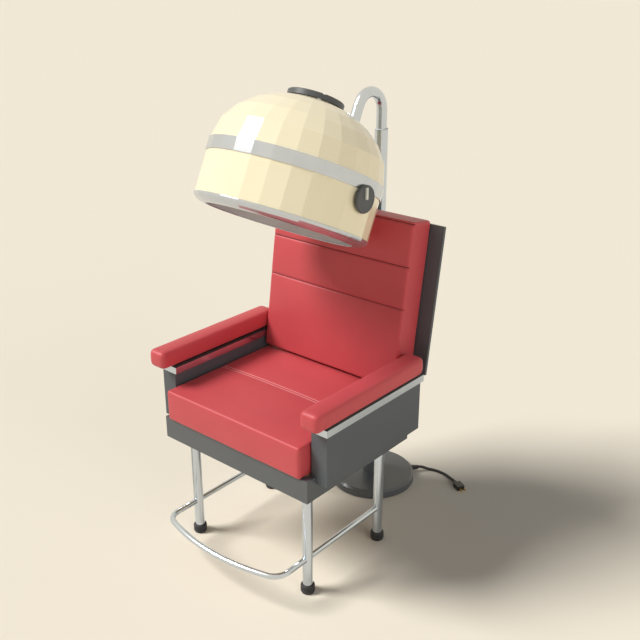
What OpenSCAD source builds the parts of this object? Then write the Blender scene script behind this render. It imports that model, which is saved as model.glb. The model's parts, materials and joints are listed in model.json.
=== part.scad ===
// Hooded dryer chair: a padded armchair on chrome legs, with a hair dryer hood on a
// column that stands behind it. The chair faces -Y. Left and right are as seen from the front.
// Lengths are in millimetres and angles in degrees.

/* [Seat frame] */
// Distance that the welded frame reaches under each side panel
frame_under = 13.5; // [8:0.5:24]
// Height of the frame's rails
frame_h = 64; // [50:1:90]
// Thickness of the frame's rails
rail_t = 30; // [26:1:36]
// Height of the frame's underside above the floor
frame_z = 328; // [260:1:400]
// Distance that the frame reaches in front of the side panels
frame_front = 32; // [20:1:45]
// Distance that the frame reaches behind the side panels
frame_rear = 2; // [0:0.5:8]
// Thickness of the seat deck
deck_t = 12; // [8:1:18]
// Width of the ledge that the deck lies on
deck_ledge = 11; // [8:1:14]
// Thickness of the leg plates in the frame's corners
plate_t = 6; // [4:0.5:10]

/* [Side panels and arms] */
// Width over the two side panels
overall_w = 600; // [570:1:660]
// Thickness of a side panel
panel_t = 50; // [42:1:56]
// Depth of a side panel
panel_d = 395; // [360:1:420]
// Height of a side panel
panel_h = 140; // [110:1:180]
// Distance that a side panel hangs down over the frame
panel_lap = 16.5; // [10:0.5:24]
// Height of the chrome arm strip
strip_h = 19.5; // [12:0.5:28]
// Width of the chrome arm strip
strip_w = 57; // [51:0.5:62]
// Distance that the strip reaches past the panel's back
strip_rear = 14; // [5:1:20]
// Distance that the strip reaches past the panel's front and outside
strip_lip = 1; // [0.5:0.5:4]
// Thickness of the board under an arm pad
pad_board_t = 4; // [3:0.5:8]
// Distance that the board lies inside the strip's outline
pad_board_inset = 4; // [2:0.5:8]
// Width of an arm pad
pad_w = 63; // [50:1:70]
// Height of an arm pad
pad_h = 50; // [38:1:64]
// Distance that an arm pad reaches in front of the strip
pad_front = 47; // [20:1:60]
// Distance that an arm pad overhangs the panel's outside
pad_out = 7; // [2:1:14]
// Radius of an arm pad's long edges
pad_edge_r = 17; // [10:1:18]

/* [Cushions] */
// Clearance between the seat cushion and each side panel
seat_side = 4.5; // [1:0.5:12]
// Height of the seat cushion at its middle
seat_h = 97; // [70:1:110]
// Distance that the seat cushion reaches in front of the frame
seat_front = 10; // [0:1:20]
// Distance from the frame's back to the seat cushion's back
seat_back_gap = 4; // [2:1:12]
// Distance from the side panels' middle forward to the seat's sewn channel
seat_channel = 25; // [5:1:60]
// Thickness of the back cushion at its middle
back_t = 91; // [70:1:100]
// Height of the back cushion along its slope
back_h = 466; // [420:1:500]
// Distance between the back cushion's sewn channels
channel_pitch = 115.5; // [95:0.5:130]
// Distance from the back cushion's top down to its highest channel
top_channel = 7; // [6:0.5:14]
// Radius of a cushion's long edges
edge_r = 14; // [8:1:16]
// Depth of a sewn channel
channel_depth = 7; // [4:0.5:9]
// Height that a cushion's crown adds between its edges
crown = 6; // [2:0.5:8]
// Distance that a cushion's sides are drawn in between its corners
draw_in = 4; // [1:0.5:6]
// Clearance between a cushion and what it lies against
soft_gap = 0.5; // [0.3:0.1:0.9]

/* [Back] */
// Lean of the back from upright
back_lean = 8.4; // [4:0.1:12]
// Distance from the frame's back forward to the foot of the back cushion
back_in = 55.4; // [40:0.1:60]
// Distance that the back board's edges lie inside the side panels' outsides
board_in = 16.5; // [6:0.5:30]
// Thickness of the back board
board_t = 9; // [6:1:14]
// Distance from the cushion's top down to the board's top
board_drop = 11; // [5:1:30]
// Distance between the board's tongue and each side panel
tongue_side = 30; // [10:1:60]
// Height of the tongue's lower end above the frame's underside
tongue_lift = 10; // [6:1:20]
// Width of a wedge between the frame and the tongue
wedge_w = 50; // [36:1:70]

/* [Legs and foot rail] */
// Diameter of a leg
leg_d = 28; // [22:1:34]
// Distance from the frame's side in to a leg's middle
leg_side_in = 51; // [42:1:70]
// Distance from the frame's front back to a front leg's middle
leg_front_in = 58; // [42:1:80]
// Distance from the frame's back forward to a rear leg's middle
leg_rear_in = 61; // [42:1:80]
// Wall of a leg
leg_wall = 2; // [1.5:0.1:3]
// Diameter of a leg's flange
flange_d = 70; // [60:1:80]
// Thickness of a leg's flange
flange_t = 5; // [3:0.5:8]
// Diameter of a rubber foot
foot_d = 39; // [34:1:48]
// Height of a rubber foot
foot_h = 26; // [16:1:36]
// Thickness of a foot's sole
sole_t = 7; // [4:0.5:10]
// Diameter of the foot rail's tube
rail_d = 16; // [12:1:20]
// Wall of the foot rail's tube
rail_wall = 1.5; // [1:0.1:2.5]
// Height of the foot rail above the floor
rail_z = 108; // [80:1:160]
// Distance from the front legs forward to the rail's corner bends
rail_reach = 79; // [50:1:120]
// Radius of the rail's corner bends
rail_corner_r = 45; // [30:1:60]
// Radius of the rail's front bow
rail_bow_r = 625; // [450:5:900]

/* [Stand] */
// Distance from the frame's back to the column's middle
stand_gap = 196.5; // [185:0.5:230]
// Diameter of the base
base_d = 268; // [220:1:320]
// Height of the base
base_h = 27; // [20:1:40]
// Width of the slope round the base's top
base_chamfer = 7; // [3:0.5:12]
// Thickness of the rubber pad under the base
base_pad_t = 3; // [2:0.5:5]
// Diameter of the base's hub
hub_d = 62; // [52:1:80]
// Height of the hub above the base
hub_h = 58; // [40:1:90]
// Diameter of the column
column_d = 38; // [34:1:46]
// Wall of the column
column_wall = 2.5; // [2:0.1:3]
// Distance from the top of the neck's arch down to the column's top
column_drop = 108; // [90:1:160]
// Thickness of the plate that ties the column to the frame
tie_t = 6; // [4:0.5:10]
// Width of the tie plate at the frame
tie_w = 96; // [80:1:140]
// Height of the tie plate's ring
tie_ring_h = 30; // [20:1:40]
// Wall of the tie plate's ring
tie_ring_wall = 9; // [6:0.5:14]

/* [Neck] */
// Diameter of the sliding neck tube
neck_d = 30; // [28:0.5:31]
// Wall of the neck tube
neck_wall = 2.5; // [2:0.1:3.5]
// Length of the neck tube inside the column
neck_inside = 300; // [240:5:400]
// Height of the neck's arch above the hood's hinge, at the tube's middle
arch_rise = 95.7; // [88:0.1:110]
// Thickness of the bush's flange on top of the column
bush_flange = 2; // [1:0.5:4]
// Length of a slide bush
bush_len = 34; // [20:1:50]
// Width of the key inside the column
key_w = 5; // [4:0.5:7]

/* [Hood] */
// Outer radius of the hood's shells
hood_r = 229; // [215:1:240]
// Wall of the hood's shells
shell_t = 4; // [3:0.5:5]
// Lean of the hood's axis from upright
hood_lean = 25.8; // [22:0.1:26]
// Distance that the hood's back reaches behind the back cushion's top front edge
hood_over = 3.6; // [-20:0.1:5]
// Distance from the belt's middle down the shell to the level of the cushion's top
hood_sink = 51.5; // [36:0.1:54]
// Rise of the dome above the belt
dome_rise = 168; // [150:1:180]
// Distance from the belt's middle down to the lower shell's edge
skirt_h = 124; // [105:1:128]
// Height of the chrome belt
belt_h = 34; // [24:1:44]
// Thickness of the chrome belt
belt_t = 2.5; // [1.5:0.5:4]
// Drop of the chrome rim's slope
rim_drop = 21; // [14:1:26]
// Distance that the chrome rim's inner edge reaches inside the bowl's wall
rim_under = 2; // [1:0.5:9]
// Thickness of the chrome rim
rim_t = 3; // [2:0.5:5]
// Distance between the shells and the inner bowl
bowl_gap = 28; // [24:0.5:34]
// Wall of the inner bowl
bowl_t = 1.5; // [1:0.5:3]
// Height of the bowl's flat top above the belt's middle
bowl_top = 68; // [55:1:74]
// Radius of the bowl's shoulder
shoulder_r = 88; // [70:1:100]
// Thickness of the chassis ring between the shells
chassis_t = 3; // [2:0.5:5]

/* [Vent and knob] */
// Radius of the vent cap
cap_r = 75; // [66:1:82]
// Height of the vent cap
cap_h = 15; // [12:0.5:20]
// Wall of the vent cap
cap_t = 4; // [3:0.5:5]
// Number of slots in the vent cap
cap_slots = 6; // [4:1:8]
// Width of a vent slot
slot_w = 9; // [6:0.5:12]
// Radius of the hole under the vent cap
vent_r = 58; // [50:1:62]
// Radius of the control knob
knob_r = 34.5; // [28:0.5:40]
// Thickness of the control knob
knob_t = 8; // [6:0.5:16]
// Distance from the belt's middle down to the knob's middle
knob_drop = 36; // [20:1:45]
// Angle of the knob round the hood, from the side towards the front
knob_turn = 0; // [0:1:20]

/* [Cord] */
// Diameter of the mains cord
cord_d = 9; // [6:0.5:10]

/* [Hidden] */
$fn = 72;

// Clearance between fitted pieces that don't move on each other
fit_gap = 0.2;
// Radial clearance of a shaft that turns or slides
run_gap = 0.05;
// Overrun of a cut past the face that it opens
over = 1;
// Radius of the frame's bolts, and of the holes for them
bolt_r = 3;
bolt_hole_r = bolt_r + fit_gap;
// Radius and height of a bolt's head
head_r = 5.5;
head_h = 4;
// Radius and head of the small screws in the legs and in the hood
screw_r = 2.5;
screw_head_r = 4.5;
screw_head_h = 3;

// Widths, heights and depths of the chair's main lines
frame_top = frame_z + frame_h;
frame_y0 = -panel_d / 2 - frame_front;
frame_y1 = panel_d / 2 + frame_rear;
frame_d = frame_y1 - frame_y0;
panel_in = overall_w / 2 - panel_t;
frame_w = 2 * (panel_in + frame_under);
panel_z = frame_top - panel_lap;
panel_top = panel_z + panel_h;
strip_top = panel_top + strip_h;
strip_in = overall_w / 2 + strip_lip - strip_w;
strip_y0 = -panel_d / 2 - strip_lip;
strip_y1 = panel_d / 2 + strip_rear;
pad_z = strip_top + pad_board_t;
seat_w = 2 * (panel_in - seat_side);
back_w = 2 * (overall_w / 2 + pad_out - pad_w - soft_gap);
seat_y0 = frame_y0 - seat_front;
seat_len = frame_y1 - seat_back_gap - seat_y0;
seat_top = frame_top + seat_h;
back_foot = seat_top + soft_gap - (soft_gap + back_t - crown) * sin(back_lean);

// The back board's front face: where it crosses the level of the back cushion's foot
back_y = frame_y1 - back_in;
board_w = overall_w - 2 * board_in;
tongue_w = 2 * (panel_in - tongue_side);
board_y = back_y + (back_t + soft_gap) / cos(back_lean);
board_thick_y = board_t / cos(back_lean);
board_top = back_h - board_drop;
tongue_z = frame_z + tongue_lift;
panel_bolt_in = 36;
strip_screw_len = 30;
strip_screw_x = strip_in + strip_w / 2;
arm_level = (panel_top - back_foot) / cos(back_lean);
wedge_x = tongue_w / 2 - wedge_w;
wedge_z0 = tongue_z + tongue_lift;
wedge_bolt_z = (wedge_z0 + frame_top) / 2;
bolt_seat_depth = 1.5;
bolt_seat_y = board_y + tan(back_lean) * (wedge_bolt_z - back_foot) + board_thick_y - bolt_seat_depth;
back_bolt_in = 24;
tie_bolt_in = 24;

// Legs, flanges and the foot rail
leg_x = frame_w / 2 - leg_side_in;
leg_y0 = frame_y0 + leg_front_in;
leg_y1 = frame_y1 - leg_rear_in;
leg_span_y = leg_y1 - leg_y0;
leg_r = leg_d / 2;
flange_screw_ring = (flange_d / 2 + leg_r) / 2;
flange_screws = 3;
foot_taper = 2.5;
corner_y0 = leg_y0 - rail_reach;
bow_turn = asin((leg_x - rail_corner_r) / (rail_bow_r - rail_corner_r));
bow_y = corner_y0 + (rail_bow_r - rail_corner_r) * cos(bow_turn);
rail_front = bow_y - rail_bow_r - rail_d / 2;

// The bounding box's middle from front to back, without the cord
column_y = frame_y1 + stand_gap;
mid_y = (rail_front + column_y + base_d / 2) / 2;

// Stand and neck
base_top = base_pad_t + base_h;
column_r = column_d / 2;
bore_r = column_r - column_wall;
neck_r = neck_d / 2;
hub_chamfer = 4;
column_z0 = base_pad_t + base_h / 2;
bush_spigot = 20;
key_t = bore_r - neck_r - 2 * fit_gap;

// The hood rests clear of the top front edge of the back cushion
back_top_y = back_y + back_h * sin(back_lean);
back_top_z = back_foot + back_h * cos(back_lean);
hood_y = back_top_y + hood_over - hood_r * cos(hood_lean) + hood_sink * sin(hood_lean);
hood_z = back_top_z + hood_r * sin(hood_lean) + hood_sink * cos(hood_lean);

// The hood's hinge on the back of the dome, in the hood's own frame
belt_z = belt_h / 2;
bracket_in = 69;
bracket_y = hood_r - bracket_in;
hinge_lift = 26;
lug_t = 14;
lug_r = 13;
cheek_t = 5;
pin_r = 5;
pin_lip = 3;
pin_head_t = 3;
lug_side_gap = 0.5;
lug_gap = 2;
pin_half = lug_t / 2 + lug_side_gap + cheek_t + fit_gap;
dome_b = dome_rise - shell_t;
dome_a = hood_r - shell_t;
bracket_z = belt_z + dome_rise * sqrt(1 - pow(bracket_y / hood_r, 2));
bracket_lean = atan2(bracket_y / pow(hood_r, 2), (bracket_z - belt_z) / pow(dome_rise, 2));
hinge_y = bracket_y + hinge_lift * sin(bracket_lean);
hinge_z = bracket_z + hinge_lift * cos(bracket_lean);
bracket_w = 56;
bracket_len = 58;
bracket_t = 9;
backing_t = 6;
bracket_bolt_x = 20;
bracket_bolt_y = 21;
bracket_bolt_drop = shell_t + backing_t;
hinge_world_y = hood_y + hinge_y * cos(hood_lean) + hinge_z * sin(hood_lean);
hinge_world_z = hood_z - hinge_y * sin(hood_lean) + hinge_z * cos(hood_lean);

// The neck's arch joins the upright tube to the short leg that comes down along the hood's axis
arch_z = hinge_world_z + arch_rise;
arch_r = (column_y - hinge_world_y - tan(hood_lean) * arch_rise)
    / (1 + cos(hood_lean) - tan(hood_lean) * (1 - sin(hood_lean)));
arch_mid_z = arch_z - arch_r;
column_top = arch_z - column_drop;
neck_z0 = column_top - neck_inside;
arch_turn = 180 - hood_lean;
fork_len = 34;
fork_plug = 22;
neck_leg_len = (arch_mid_z + arch_r * sin(hood_lean) - hinge_world_z) / cos(hood_lean) - fork_len;

// Inside the hood
bowl_r = hood_r - shell_t - bowl_gap;
bowl_top_r = bowl_r - shoulder_r;
rim_in_r = bowl_r - rim_under;
strap_w = 24;
strap_t = 3;
spider_z = 122;
spider_r = 46;
strap_foot_r = bowl_r + (hood_r - shell_t - bowl_r) / 2;
strap_foot_len = 8;
strap_gap = 3;
strap_top_r = dome_a * sqrt(1 - pow((spider_z + strap_t - belt_z) / dome_b, 2)) - strap_t - strap_gap;
shaft_r = 4;
motor_r = 38;
motor_h = 42;
fan_r = 84;
fan_h = 32;
fan_z = 82;
fan_blades = 9;
fan_plate_t = 3;
hub_r = 14;
blade_t = 2.5;
blade_lean = 35;
coil_r = (bowl_r + hood_r - shell_t) / 2;
coil_wire_r = 4;
coil_turns = 3;
coil_pitch = 10;
coil_z = 24;
mica_t = 2;
mica_gap = 6;
mica_w = bowl_gap - 2 * mica_gap;
mica_count = 6;
mica_top = coil_z + (coil_turns - 1) * coil_pitch + coil_wire_r + over;
bowl_hole_r = 4;
bowl_flange = 10;
bowl_foot = -skirt_h - rim_drop + rim_t;
bowl_rings = 3;
bowl_holes = 6;
rim_up = 9;
rim_lip = 1.5;
seat_t = 3;
vent_lip = 4;
stud_r = 4;
cap_gap = 1;
cap_chamfer = 2;
grip_len = 10;
grip_w = 8;
grip_depth = 4;
slot_r0 = 16;
slot_r1 = 48;
slot_turn = 24;
grip_turn = -36;
cap_z = belt_z + dome_rise * sqrt(1 - pow(cap_r / hood_r, 2)) + cap_gap;
vent_top = belt_z + dome_rise * sqrt(1 - pow(vent_r / hood_r, 2));

// Control knob
knob_gap = 1.5;
knob_in = hood_r + belt_t + knob_gap;
timer_w = 44;
timer_h = 50;
timer_d = 20;
spindle_r = 3;
neck_bush_r = 7;
pointer_w = 8;
pointer_len = 29;
pointer_t = 4;
pointer_turn = 180 + hood_lean;
knob_chamfer = 2;
spindle_in = hood_r - shell_t - timer_d + spindle_r;
timer_gap = 1.5;

// The cord's free stretch from the relief to the plug: points at the cord's middle, in
// multiples of its diameter, from its start and from the level where it lies on the floor
cord_shape = [
    [0, 0, 1.17], [0.33, 0.44, 1.17], [0.72, 0.94, 1.06], [1.22, 1.5, 0.78], [1.89, 2.11, 0.44],
    [2.67, 2.67, 0.11], [3.56, 3.11, 0], [4.56, 3.44, 0], [5.67, 3.67, 0], [6.78, 3.78, 0],
    [7.89, 3.78, 0], [9, 3.67, 0], [10.11, 3.44, 0], [11.17, 3.11, 0], [12.22, 2.67, 0.08],
    [13.22, 2.17, 0.26], [14.17, 1.67, 0.39], [15.11, 1.17, 0.39]
];
cord_r = cord_d / 2;
outlet_turn = 53.07;
relief_len = 24.1;
outlet_z = cord_r + cord_shape[0][2] * cord_d;
outlet_reach = base_d / 2 + relief_len;
cord_x = outlet_reach * cos(outlet_turn);
cord_y = column_y - mid_y + outlet_reach * sin(outlet_turn);
cord_points = [for (p = cord_shape) [cord_x, cord_y, cord_r] + cord_d * p];
cord_sides = 10;
cord_gap = 0.1;
relief_r0 = 9;
relief_r1 = 6;
relief_in = 14;
relief_plug_r = 7;
plug_len = 42;
plug_w = 24;
plug_h = 16;
plug_taper = 12;
blade_w = 6.3;
blade_h = 1.6;
blade_len = 16;
blade_gap = 12.7;

// Shares of a sewn panel's length, from one channel to the next, where its outline has points
panel_shares = [0.98, 0.94, 0.86, 0.7, 0.5, 0.3, 0.14, 0.06, 0.02];
// Shares of a cushion's half width where it has sections, and of its underside's length
section_shares = [-1, -0.88, -0.66, -0.4, -0.14, 0.14, 0.4, 0.66, 0.88, 1];
under_shares = [0, 0.25, 0.5, 0.75, 1];
// Turn and steps of the small rounding at a cushion's underside
under_turn = 60;
under_steps = 2;
// How sharply a panel falls into its channel
channel_power = 12;
// Steps in a cushion's rounded edge, and in a curved wall of the hood
edge_steps = 3;
dome_steps = 12;
dome_sides = 180;
bow_sides = 288;

// Points of an arc about [x, y], from angle a0 to a1
function arc(x, y, r, a0, a1, steps) =
    [for (k = [0:steps]) let (a = a0 + (a1 - a0) * k / steps) [x + r * cos(a), y + r * sin(a)]];

// Points of an ellipse's quarter above height z0, for the angles a0 to a1
function dome_arc(rx, rz, z0, a0, a1) =
    [for (k = [0:dome_steps]) let (a = a0 + (a1 - a0) * k / dome_steps) [rx * cos(a), z0 + rz * sin(a)]];

// Outline of a cushion from the side: v runs along it, w is its height. It goes round from
// the underside, and falls into each sewn channel on its way back along the top.
function cushion_top(breaks, h) =
    [for (k = [len(breaks) - 1:-1:1])
        let (v0 = breaks[k - 1], v1 = breaks[k], low = k > 1 ? 1 : 0, high = k < len(breaks) - 1 ? 1 : 0)
        each concat(
            [for (t = v1 - v0 > 2 * edge_r ? panel_shares : [])
                [v0 + (v1 - v0) * t, h - channel_depth
                    * (low * pow(max(0, 1 - 2 * t), channel_power)
                    + high * pow(max(0, 2 * t - 1), channel_power))]],
            low == 1 ? [[v0, h - channel_depth]] : []
        )
    ];

function cushion_outline(l, h, r, rb, channels) =
    let (top = cushion_top(concat([r], channels, [l - r]), h))
    concat(
        [for (s = under_shares) [rb + (l - 2 * rb) * s, 0]],
        arc(l - rb, rb, rb, -under_turn, 0, under_steps),
        [[l, h / 2]],
        arc(l - r, h - r, r, 0, 90, edge_steps),
        top,
        arc(r, h - r, r, 90, 180, edge_steps),
        [[0, h / 2]],
        arc(rb, rb, rb, 180, 180 + under_turn, under_steps)
    );

// One point of a cushion: x across, inset towards its rounded sides, crowned in its middle
// and drawn in between its corners
function cushion_point(p, x, inset, w, l, h, r, rb, top, slope) =
    let (
        u = 2 * x / w,
        low = inset * rb / r,
        v = inset + p[0] * (1 - 2 * inset / l),
        z = low + p[1] * (1 - (low + inset) / h),
        c = 2 * v / l - 1,
        swell = (1 - u * u) * (1 - c * c)
    )
    [
        x - draw_in * (1 - c * c) * u,
        v - draw_in * (1 - u * u) * c + (h - z) * slope * (1 - v / l),
        z + top * swell * z / h
    ];

// Closed solid through outlines that all have the same number of points
module skin(rows) {
    n = len(rows[0]);
    m = len(rows);
    middle = [for (p = rows[0]) 1 / n];
    ends = [for (r = [rows[0], rows[m - 1]]) [for (k = [0:2]) [for (p = r) p[k]] * middle]];
    sides = [for (j = [0:m - 2]) for (i = [0:n - 1])
        let (a = j * n + i, b = j * n + (i + 1) % n)
        each [[a, a + n, b + n], [a, b + n, b]]];
    first = [for (i = [0:n - 1]) [m * n, i, (i + 1) % n]];
    last = [for (i = [0:n - 1]) [m * n + 1, (m - 1) * n + (i + 1) % n, (m - 1) * n + i]];
    polyhedron(points = concat([for (r = rows) each r], ends), faces = concat(sides, first, last));
}

// Cushion w wide, l long and h high at its edges, on its underside at zero height
module cushion(w, l, h, r, rb, top, channels, slope) {
    outline = cushion_outline(l, h, r, rb, channels);
    flat = w / 2 - r;
    rise = [for (k = [0:edge_steps]) let (a = 90 * k / edge_steps) [flat + r * cos(a), r - r * sin(a)]];
    fall = [for (k = [edge_steps:-1:0]) rise[k]];
    stations = concat(
        [for (s = rise) if (s[0] > flat) [-s[0], s[1]]],
        [for (s = section_shares) [flat * s, 0]],
        [for (s = fall) if (s[0] > flat) s]
    );
    skin([for (s = stations)
        [for (p = outline) cushion_point(p, s[0], s[1], w, l, h, r, rb, top, slope)]]);
}

// Everything is drawn about the side panels' middle, and then set so that the origin lies
// under the bounding box's middle
module chair() {
    translate([0, -mid_y, 0]) children();
}

module in_hood() {
    chair() translate([0, hood_y, hood_z]) rotate([-hood_lean, 0, 0]) children();
}

// The back's frame: y runs up the slope from the cushion's foot, z forward from the board
module on_back() {
    chair() translate([0, board_y, back_foot]) rotate([90 - back_lean, 0, 0]) children();
}

// Places one piece on each side, mirrored
module sided(side) {
    scale_x = side == "left" ? 1 : 0;
    mirror([scale_x, 0, 0]) children();
}

// Bolt that stands on z = 0 with its head below
module bolt(r, len, hr, hh) {
    translate([0, 0, -hh]) cylinder(r = hr, h = hh);
    translate([0, 0, -hh / 2]) cylinder(r = r, h = len + hh / 2);
}

module each_leg() {
    for (sx = [-1, 1], sy = [0, 1])
        translate([sx * leg_x, sy == 0 ? leg_y0 : leg_y1, frame_z]) children();
}

module leg_screw_places() {
    each_leg() for (k = [0:flange_screws - 1])
        rotate([0, 0, 90 + k * 360 / flange_screws]) translate([flange_screw_ring, 0, 0]) children();
}

module panel_bolt_places() {
    for (sx = [-1, 1], sy = [-1, 1])
        translate([sx * (frame_w / 2 + panel_in) / 2, sy * panel_d / 3, 0]) children();
}

module seat_frame() color("dimgray") chair() difference() {
    union() {
        difference() {
            translate([-frame_w / 2, frame_y0, frame_z]) cube([frame_w, frame_d, frame_h]);
            translate([-frame_w / 2 + rail_t, frame_y0 + rail_t, frame_z - over])
                cube([frame_w - 2 * rail_t, frame_d - 2 * rail_t, frame_h + 2 * over]);
            translate([
                -frame_w / 2 + rail_t - deck_ledge,
                frame_y0 + rail_t - deck_ledge,
                frame_top - deck_t
            ])
                cube([
                    frame_w - 2 * (rail_t - deck_ledge),
                    frame_d - 2 * (rail_t - deck_ledge),
                    deck_t + over
                ]);
        }
        for (sx = [-1, 1], y = [leg_y0, leg_y1])
            translate([
                sx > 0 ? leg_x - flange_d / 2 : -frame_w / 2 + rail_t / 2,
                y - flange_d / 2,
                frame_z
            ]) cube([frame_w / 2 - rail_t / 2 - leg_x + flange_d / 2, flange_d, plate_t]);
    }
    leg_screw_places() translate([0, 0, -over]) cylinder(r = screw_r + fit_gap, h = plate_t + 2 * over);
    panel_bolt_places() {
        translate([0, 0, frame_z]) cylinder(r = bolt_hole_r, h = frame_h + over);
        translate([0, 0, frame_z - over]) cylinder(r = head_r + fit_gap, h = head_h + 2 * over);
    }
    back_bolt_places() translate([0, -rail_t - over, 0]) rotate([-90, 0, 0])
        cylinder(r = bolt_hole_r, h = rail_t + 2 * over);
    tie_bolt_places() translate([0, 0, -over]) cylinder(r = bolt_hole_r, h = frame_h / 2 + over);
}

module seat_deck() color("burlywood") chair()
    translate([
        -frame_w / 2 + rail_t - deck_ledge + fit_gap,
        frame_y0 + rail_t - deck_ledge + fit_gap,
        frame_top - deck_t
    ])
        cube([
            frame_w - 2 * (rail_t - deck_ledge + fit_gap),
            frame_d - 2 * (rail_t - deck_ledge + fit_gap),
            deck_t
        ]);

module side_panel(side) color("dimgray") chair() sided(side) difference() {
    translate([panel_in, -panel_d / 2, panel_z]) cube([panel_t, panel_d, panel_h]);
    translate([panel_in - over, -panel_d / 2 - over, panel_z - over])
        cube([frame_w / 2 - panel_in + over + fit_gap, panel_d + 2 * over, panel_lap + over]);
    for (y = [-panel_d / 3, panel_d / 3])
        translate([(frame_w / 2 + panel_in) / 2, y, frame_top - over])
            cylinder(r = bolt_hole_r, h = panel_bolt_in + over + fit_gap);
    for (y = [-panel_d / 3, panel_d / 3])
        translate([strip_screw_x, y, panel_top - strip_screw_len - fit_gap])
            cylinder(r = screw_r + fit_gap, h = strip_screw_len + over + fit_gap);
}

module panel_bolts() color("silver") chair() panel_bolt_places()
    translate([0, 0, frame_z + head_h + over])
        bolt(bolt_r, frame_h - head_h - over + panel_bolt_in, head_r, head_h);

module arm_strip(side) color("gainsboro") chair() sided(side) difference() {
    translate([strip_in, strip_y0, panel_top]) cube([strip_w, strip_y1 - strip_y0, strip_h]);
    for (y = [-panel_d / 3, panel_d / 3])
        translate([strip_screw_x, y, panel_top - over])
            cylinder(r = screw_r + fit_gap, h = strip_h + 2 * over);
}

module pad_board(side) color("dimgray") chair() sided(side) difference() {
    translate([strip_in + pad_board_inset, strip_y0 + pad_board_inset, strip_top])
        cube([strip_w - 2 * pad_board_inset, strip_y1 - strip_y0 - 2 * pad_board_inset, pad_board_t]);
    for (y = [-panel_d / 3, panel_d / 3]) {
        translate([strip_screw_x, y, strip_top - over])
            cylinder(r = screw_r + fit_gap, h = pad_board_t + 2 * over);
        translate([strip_screw_x, y, pad_z - screw_head_h])
            cylinder(r = screw_head_r + fit_gap, h = screw_head_h + over);
    }
}

module strip_screws() color("silver") chair()
    for (sx = [-1, 1], y = [-panel_d / 3, panel_d / 3])
        translate([sx * strip_screw_x, y, pad_z - screw_head_h]) mirror([0, 0, 1])
            bolt(
                screw_r, strip_h + pad_board_t - screw_head_h + strip_screw_len,
                screw_head_r, screw_head_h
            );

module arm_pad(side) color("crimson") chair() sided(side)
    translate([overall_w / 2 + pad_out - pad_w / 2, strip_y0 - pad_front, pad_z])
        cushion(
            pad_w, strip_y1 - strip_y0 + pad_front, pad_h - crown / 2, pad_edge_r, pad_edge_r / 2,
            crown / 2, [], 0
        );

module seat_cushion() color("crimson") chair() translate([0, seat_y0, frame_top])
    cushion(seat_w, seat_len, seat_h - crown, edge_r, edge_r / 2, crown, [-seat_channel - seat_y0], 0);

module back_cushion() color("crimson") on_back() translate([0, 0, soft_gap])
    cushion(
        back_w, back_h, back_t - crown, edge_r, edge_r / 2, crown,
        [for (k = [2:-1:0]) back_h - top_channel - k * channel_pitch], tan(back_lean)
    );

module back_board() color("dimgray") difference() {
    on_back() translate([0, 0, -board_t]) linear_extrude(board_t) union() {
        translate([-board_w / 2, arm_level]) square([board_w, board_top - arm_level]);
        translate([-tongue_w / 2, (tongue_z - back_foot) / cos(back_lean)])
            square([tongue_w, arm_level + over - (tongue_z - back_foot) / cos(back_lean)]);
    }
    chair() back_bolt_places() {
        translate([0, -over, 0]) rotate([-90, 0, 0]) cylinder(r = bolt_hole_r, h = column_y - frame_y1);
        translate([0, bolt_seat_y - frame_y1, 0]) rotate([-90, 0, 0])
            cylinder(r = head_r + fit_gap, h = column_y - bolt_seat_y);
    }
}

module back_bolt_places() {
    for (sx = [-1, 1]) translate([sx * (wedge_x + wedge_w / 2), frame_y1, wedge_bolt_z]) children();
}

module back_wedges() color("dimgray") chair() difference() {
    for (sx = [-1, 1]) translate([sx * (wedge_x + wedge_w / 2) - wedge_w / 2, 0, 0])
        rotate([90, 0, 90]) linear_extrude(wedge_w) polygon([
            [frame_y1, wedge_z0],
            [board_y + tan(back_lean) * (wedge_z0 - back_foot), wedge_z0],
            [board_y + tan(back_lean) * (frame_top - back_foot), frame_top],
            [frame_y1, frame_top]
        ]);
    back_bolt_places() translate([0, -over, 0]) rotate([-90, 0, 0])
        cylinder(r = bolt_hole_r, h = column_y - frame_y1);
}

module back_bolts() color("silver") chair() back_bolt_places()
    translate([0, bolt_seat_y - frame_y1, 0]) rotate([90, 0, 0])
        bolt(bolt_r, bolt_seat_y - frame_y1 + back_bolt_in, head_r, head_h);

module at_leg(x_side, y_side) {
    chair() translate([x_side * leg_x, y_side > 0 ? leg_y1 : leg_y0, 0]) children();
}

module leg() color("gainsboro") difference() {
    union() {
        translate([0, 0, sole_t]) cylinder(r = leg_r, h = frame_z - sole_t);
        translate([0, 0, frame_z - flange_t]) cylinder(r = flange_d / 2, h = flange_t);
    }
    translate([0, 0, sole_t - over]) cylinder(r = leg_r - leg_wall, h = frame_z - sole_t - flange_t + over);
    for (k = [0:flange_screws - 1]) rotate([0, 0, 90 + k * 360 / flange_screws])
        translate([flange_screw_ring, 0, frame_z - flange_t - over])
            cylinder(r = screw_r + fit_gap, h = flange_t + 2 * over);
}

module leg_screws() color("silver") chair() leg_screw_places()
    translate([0, 0, -flange_t]) bolt(screw_r, flange_t + plate_t, screw_head_r, screw_head_h);

module foot() color("black") difference() {
    union() {
        cylinder(r1 = foot_d / 2 - foot_taper, r2 = foot_d / 2, h = sole_t);
        translate([0, 0, sole_t]) cylinder(r = foot_d / 2, h = foot_h - sole_t - foot_taper);
        translate([0, 0, foot_h - foot_taper])
            cylinder(r1 = foot_d / 2, r2 = foot_d / 2 - foot_taper, h = foot_taper);
    }
    translate([0, 0, sole_t]) cylinder(r = leg_r + fit_gap, h = foot_h);
}

// Clears the round legs out of a tube that is welded to them
module leg_copes() {
    for (sx = [-1, 1], y = [leg_y0, leg_y1])
        translate([sx * leg_x, y, rail_z - rail_d]) cylinder(r = leg_r + fit_gap / 2, h = 2 * rail_d);
}

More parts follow.
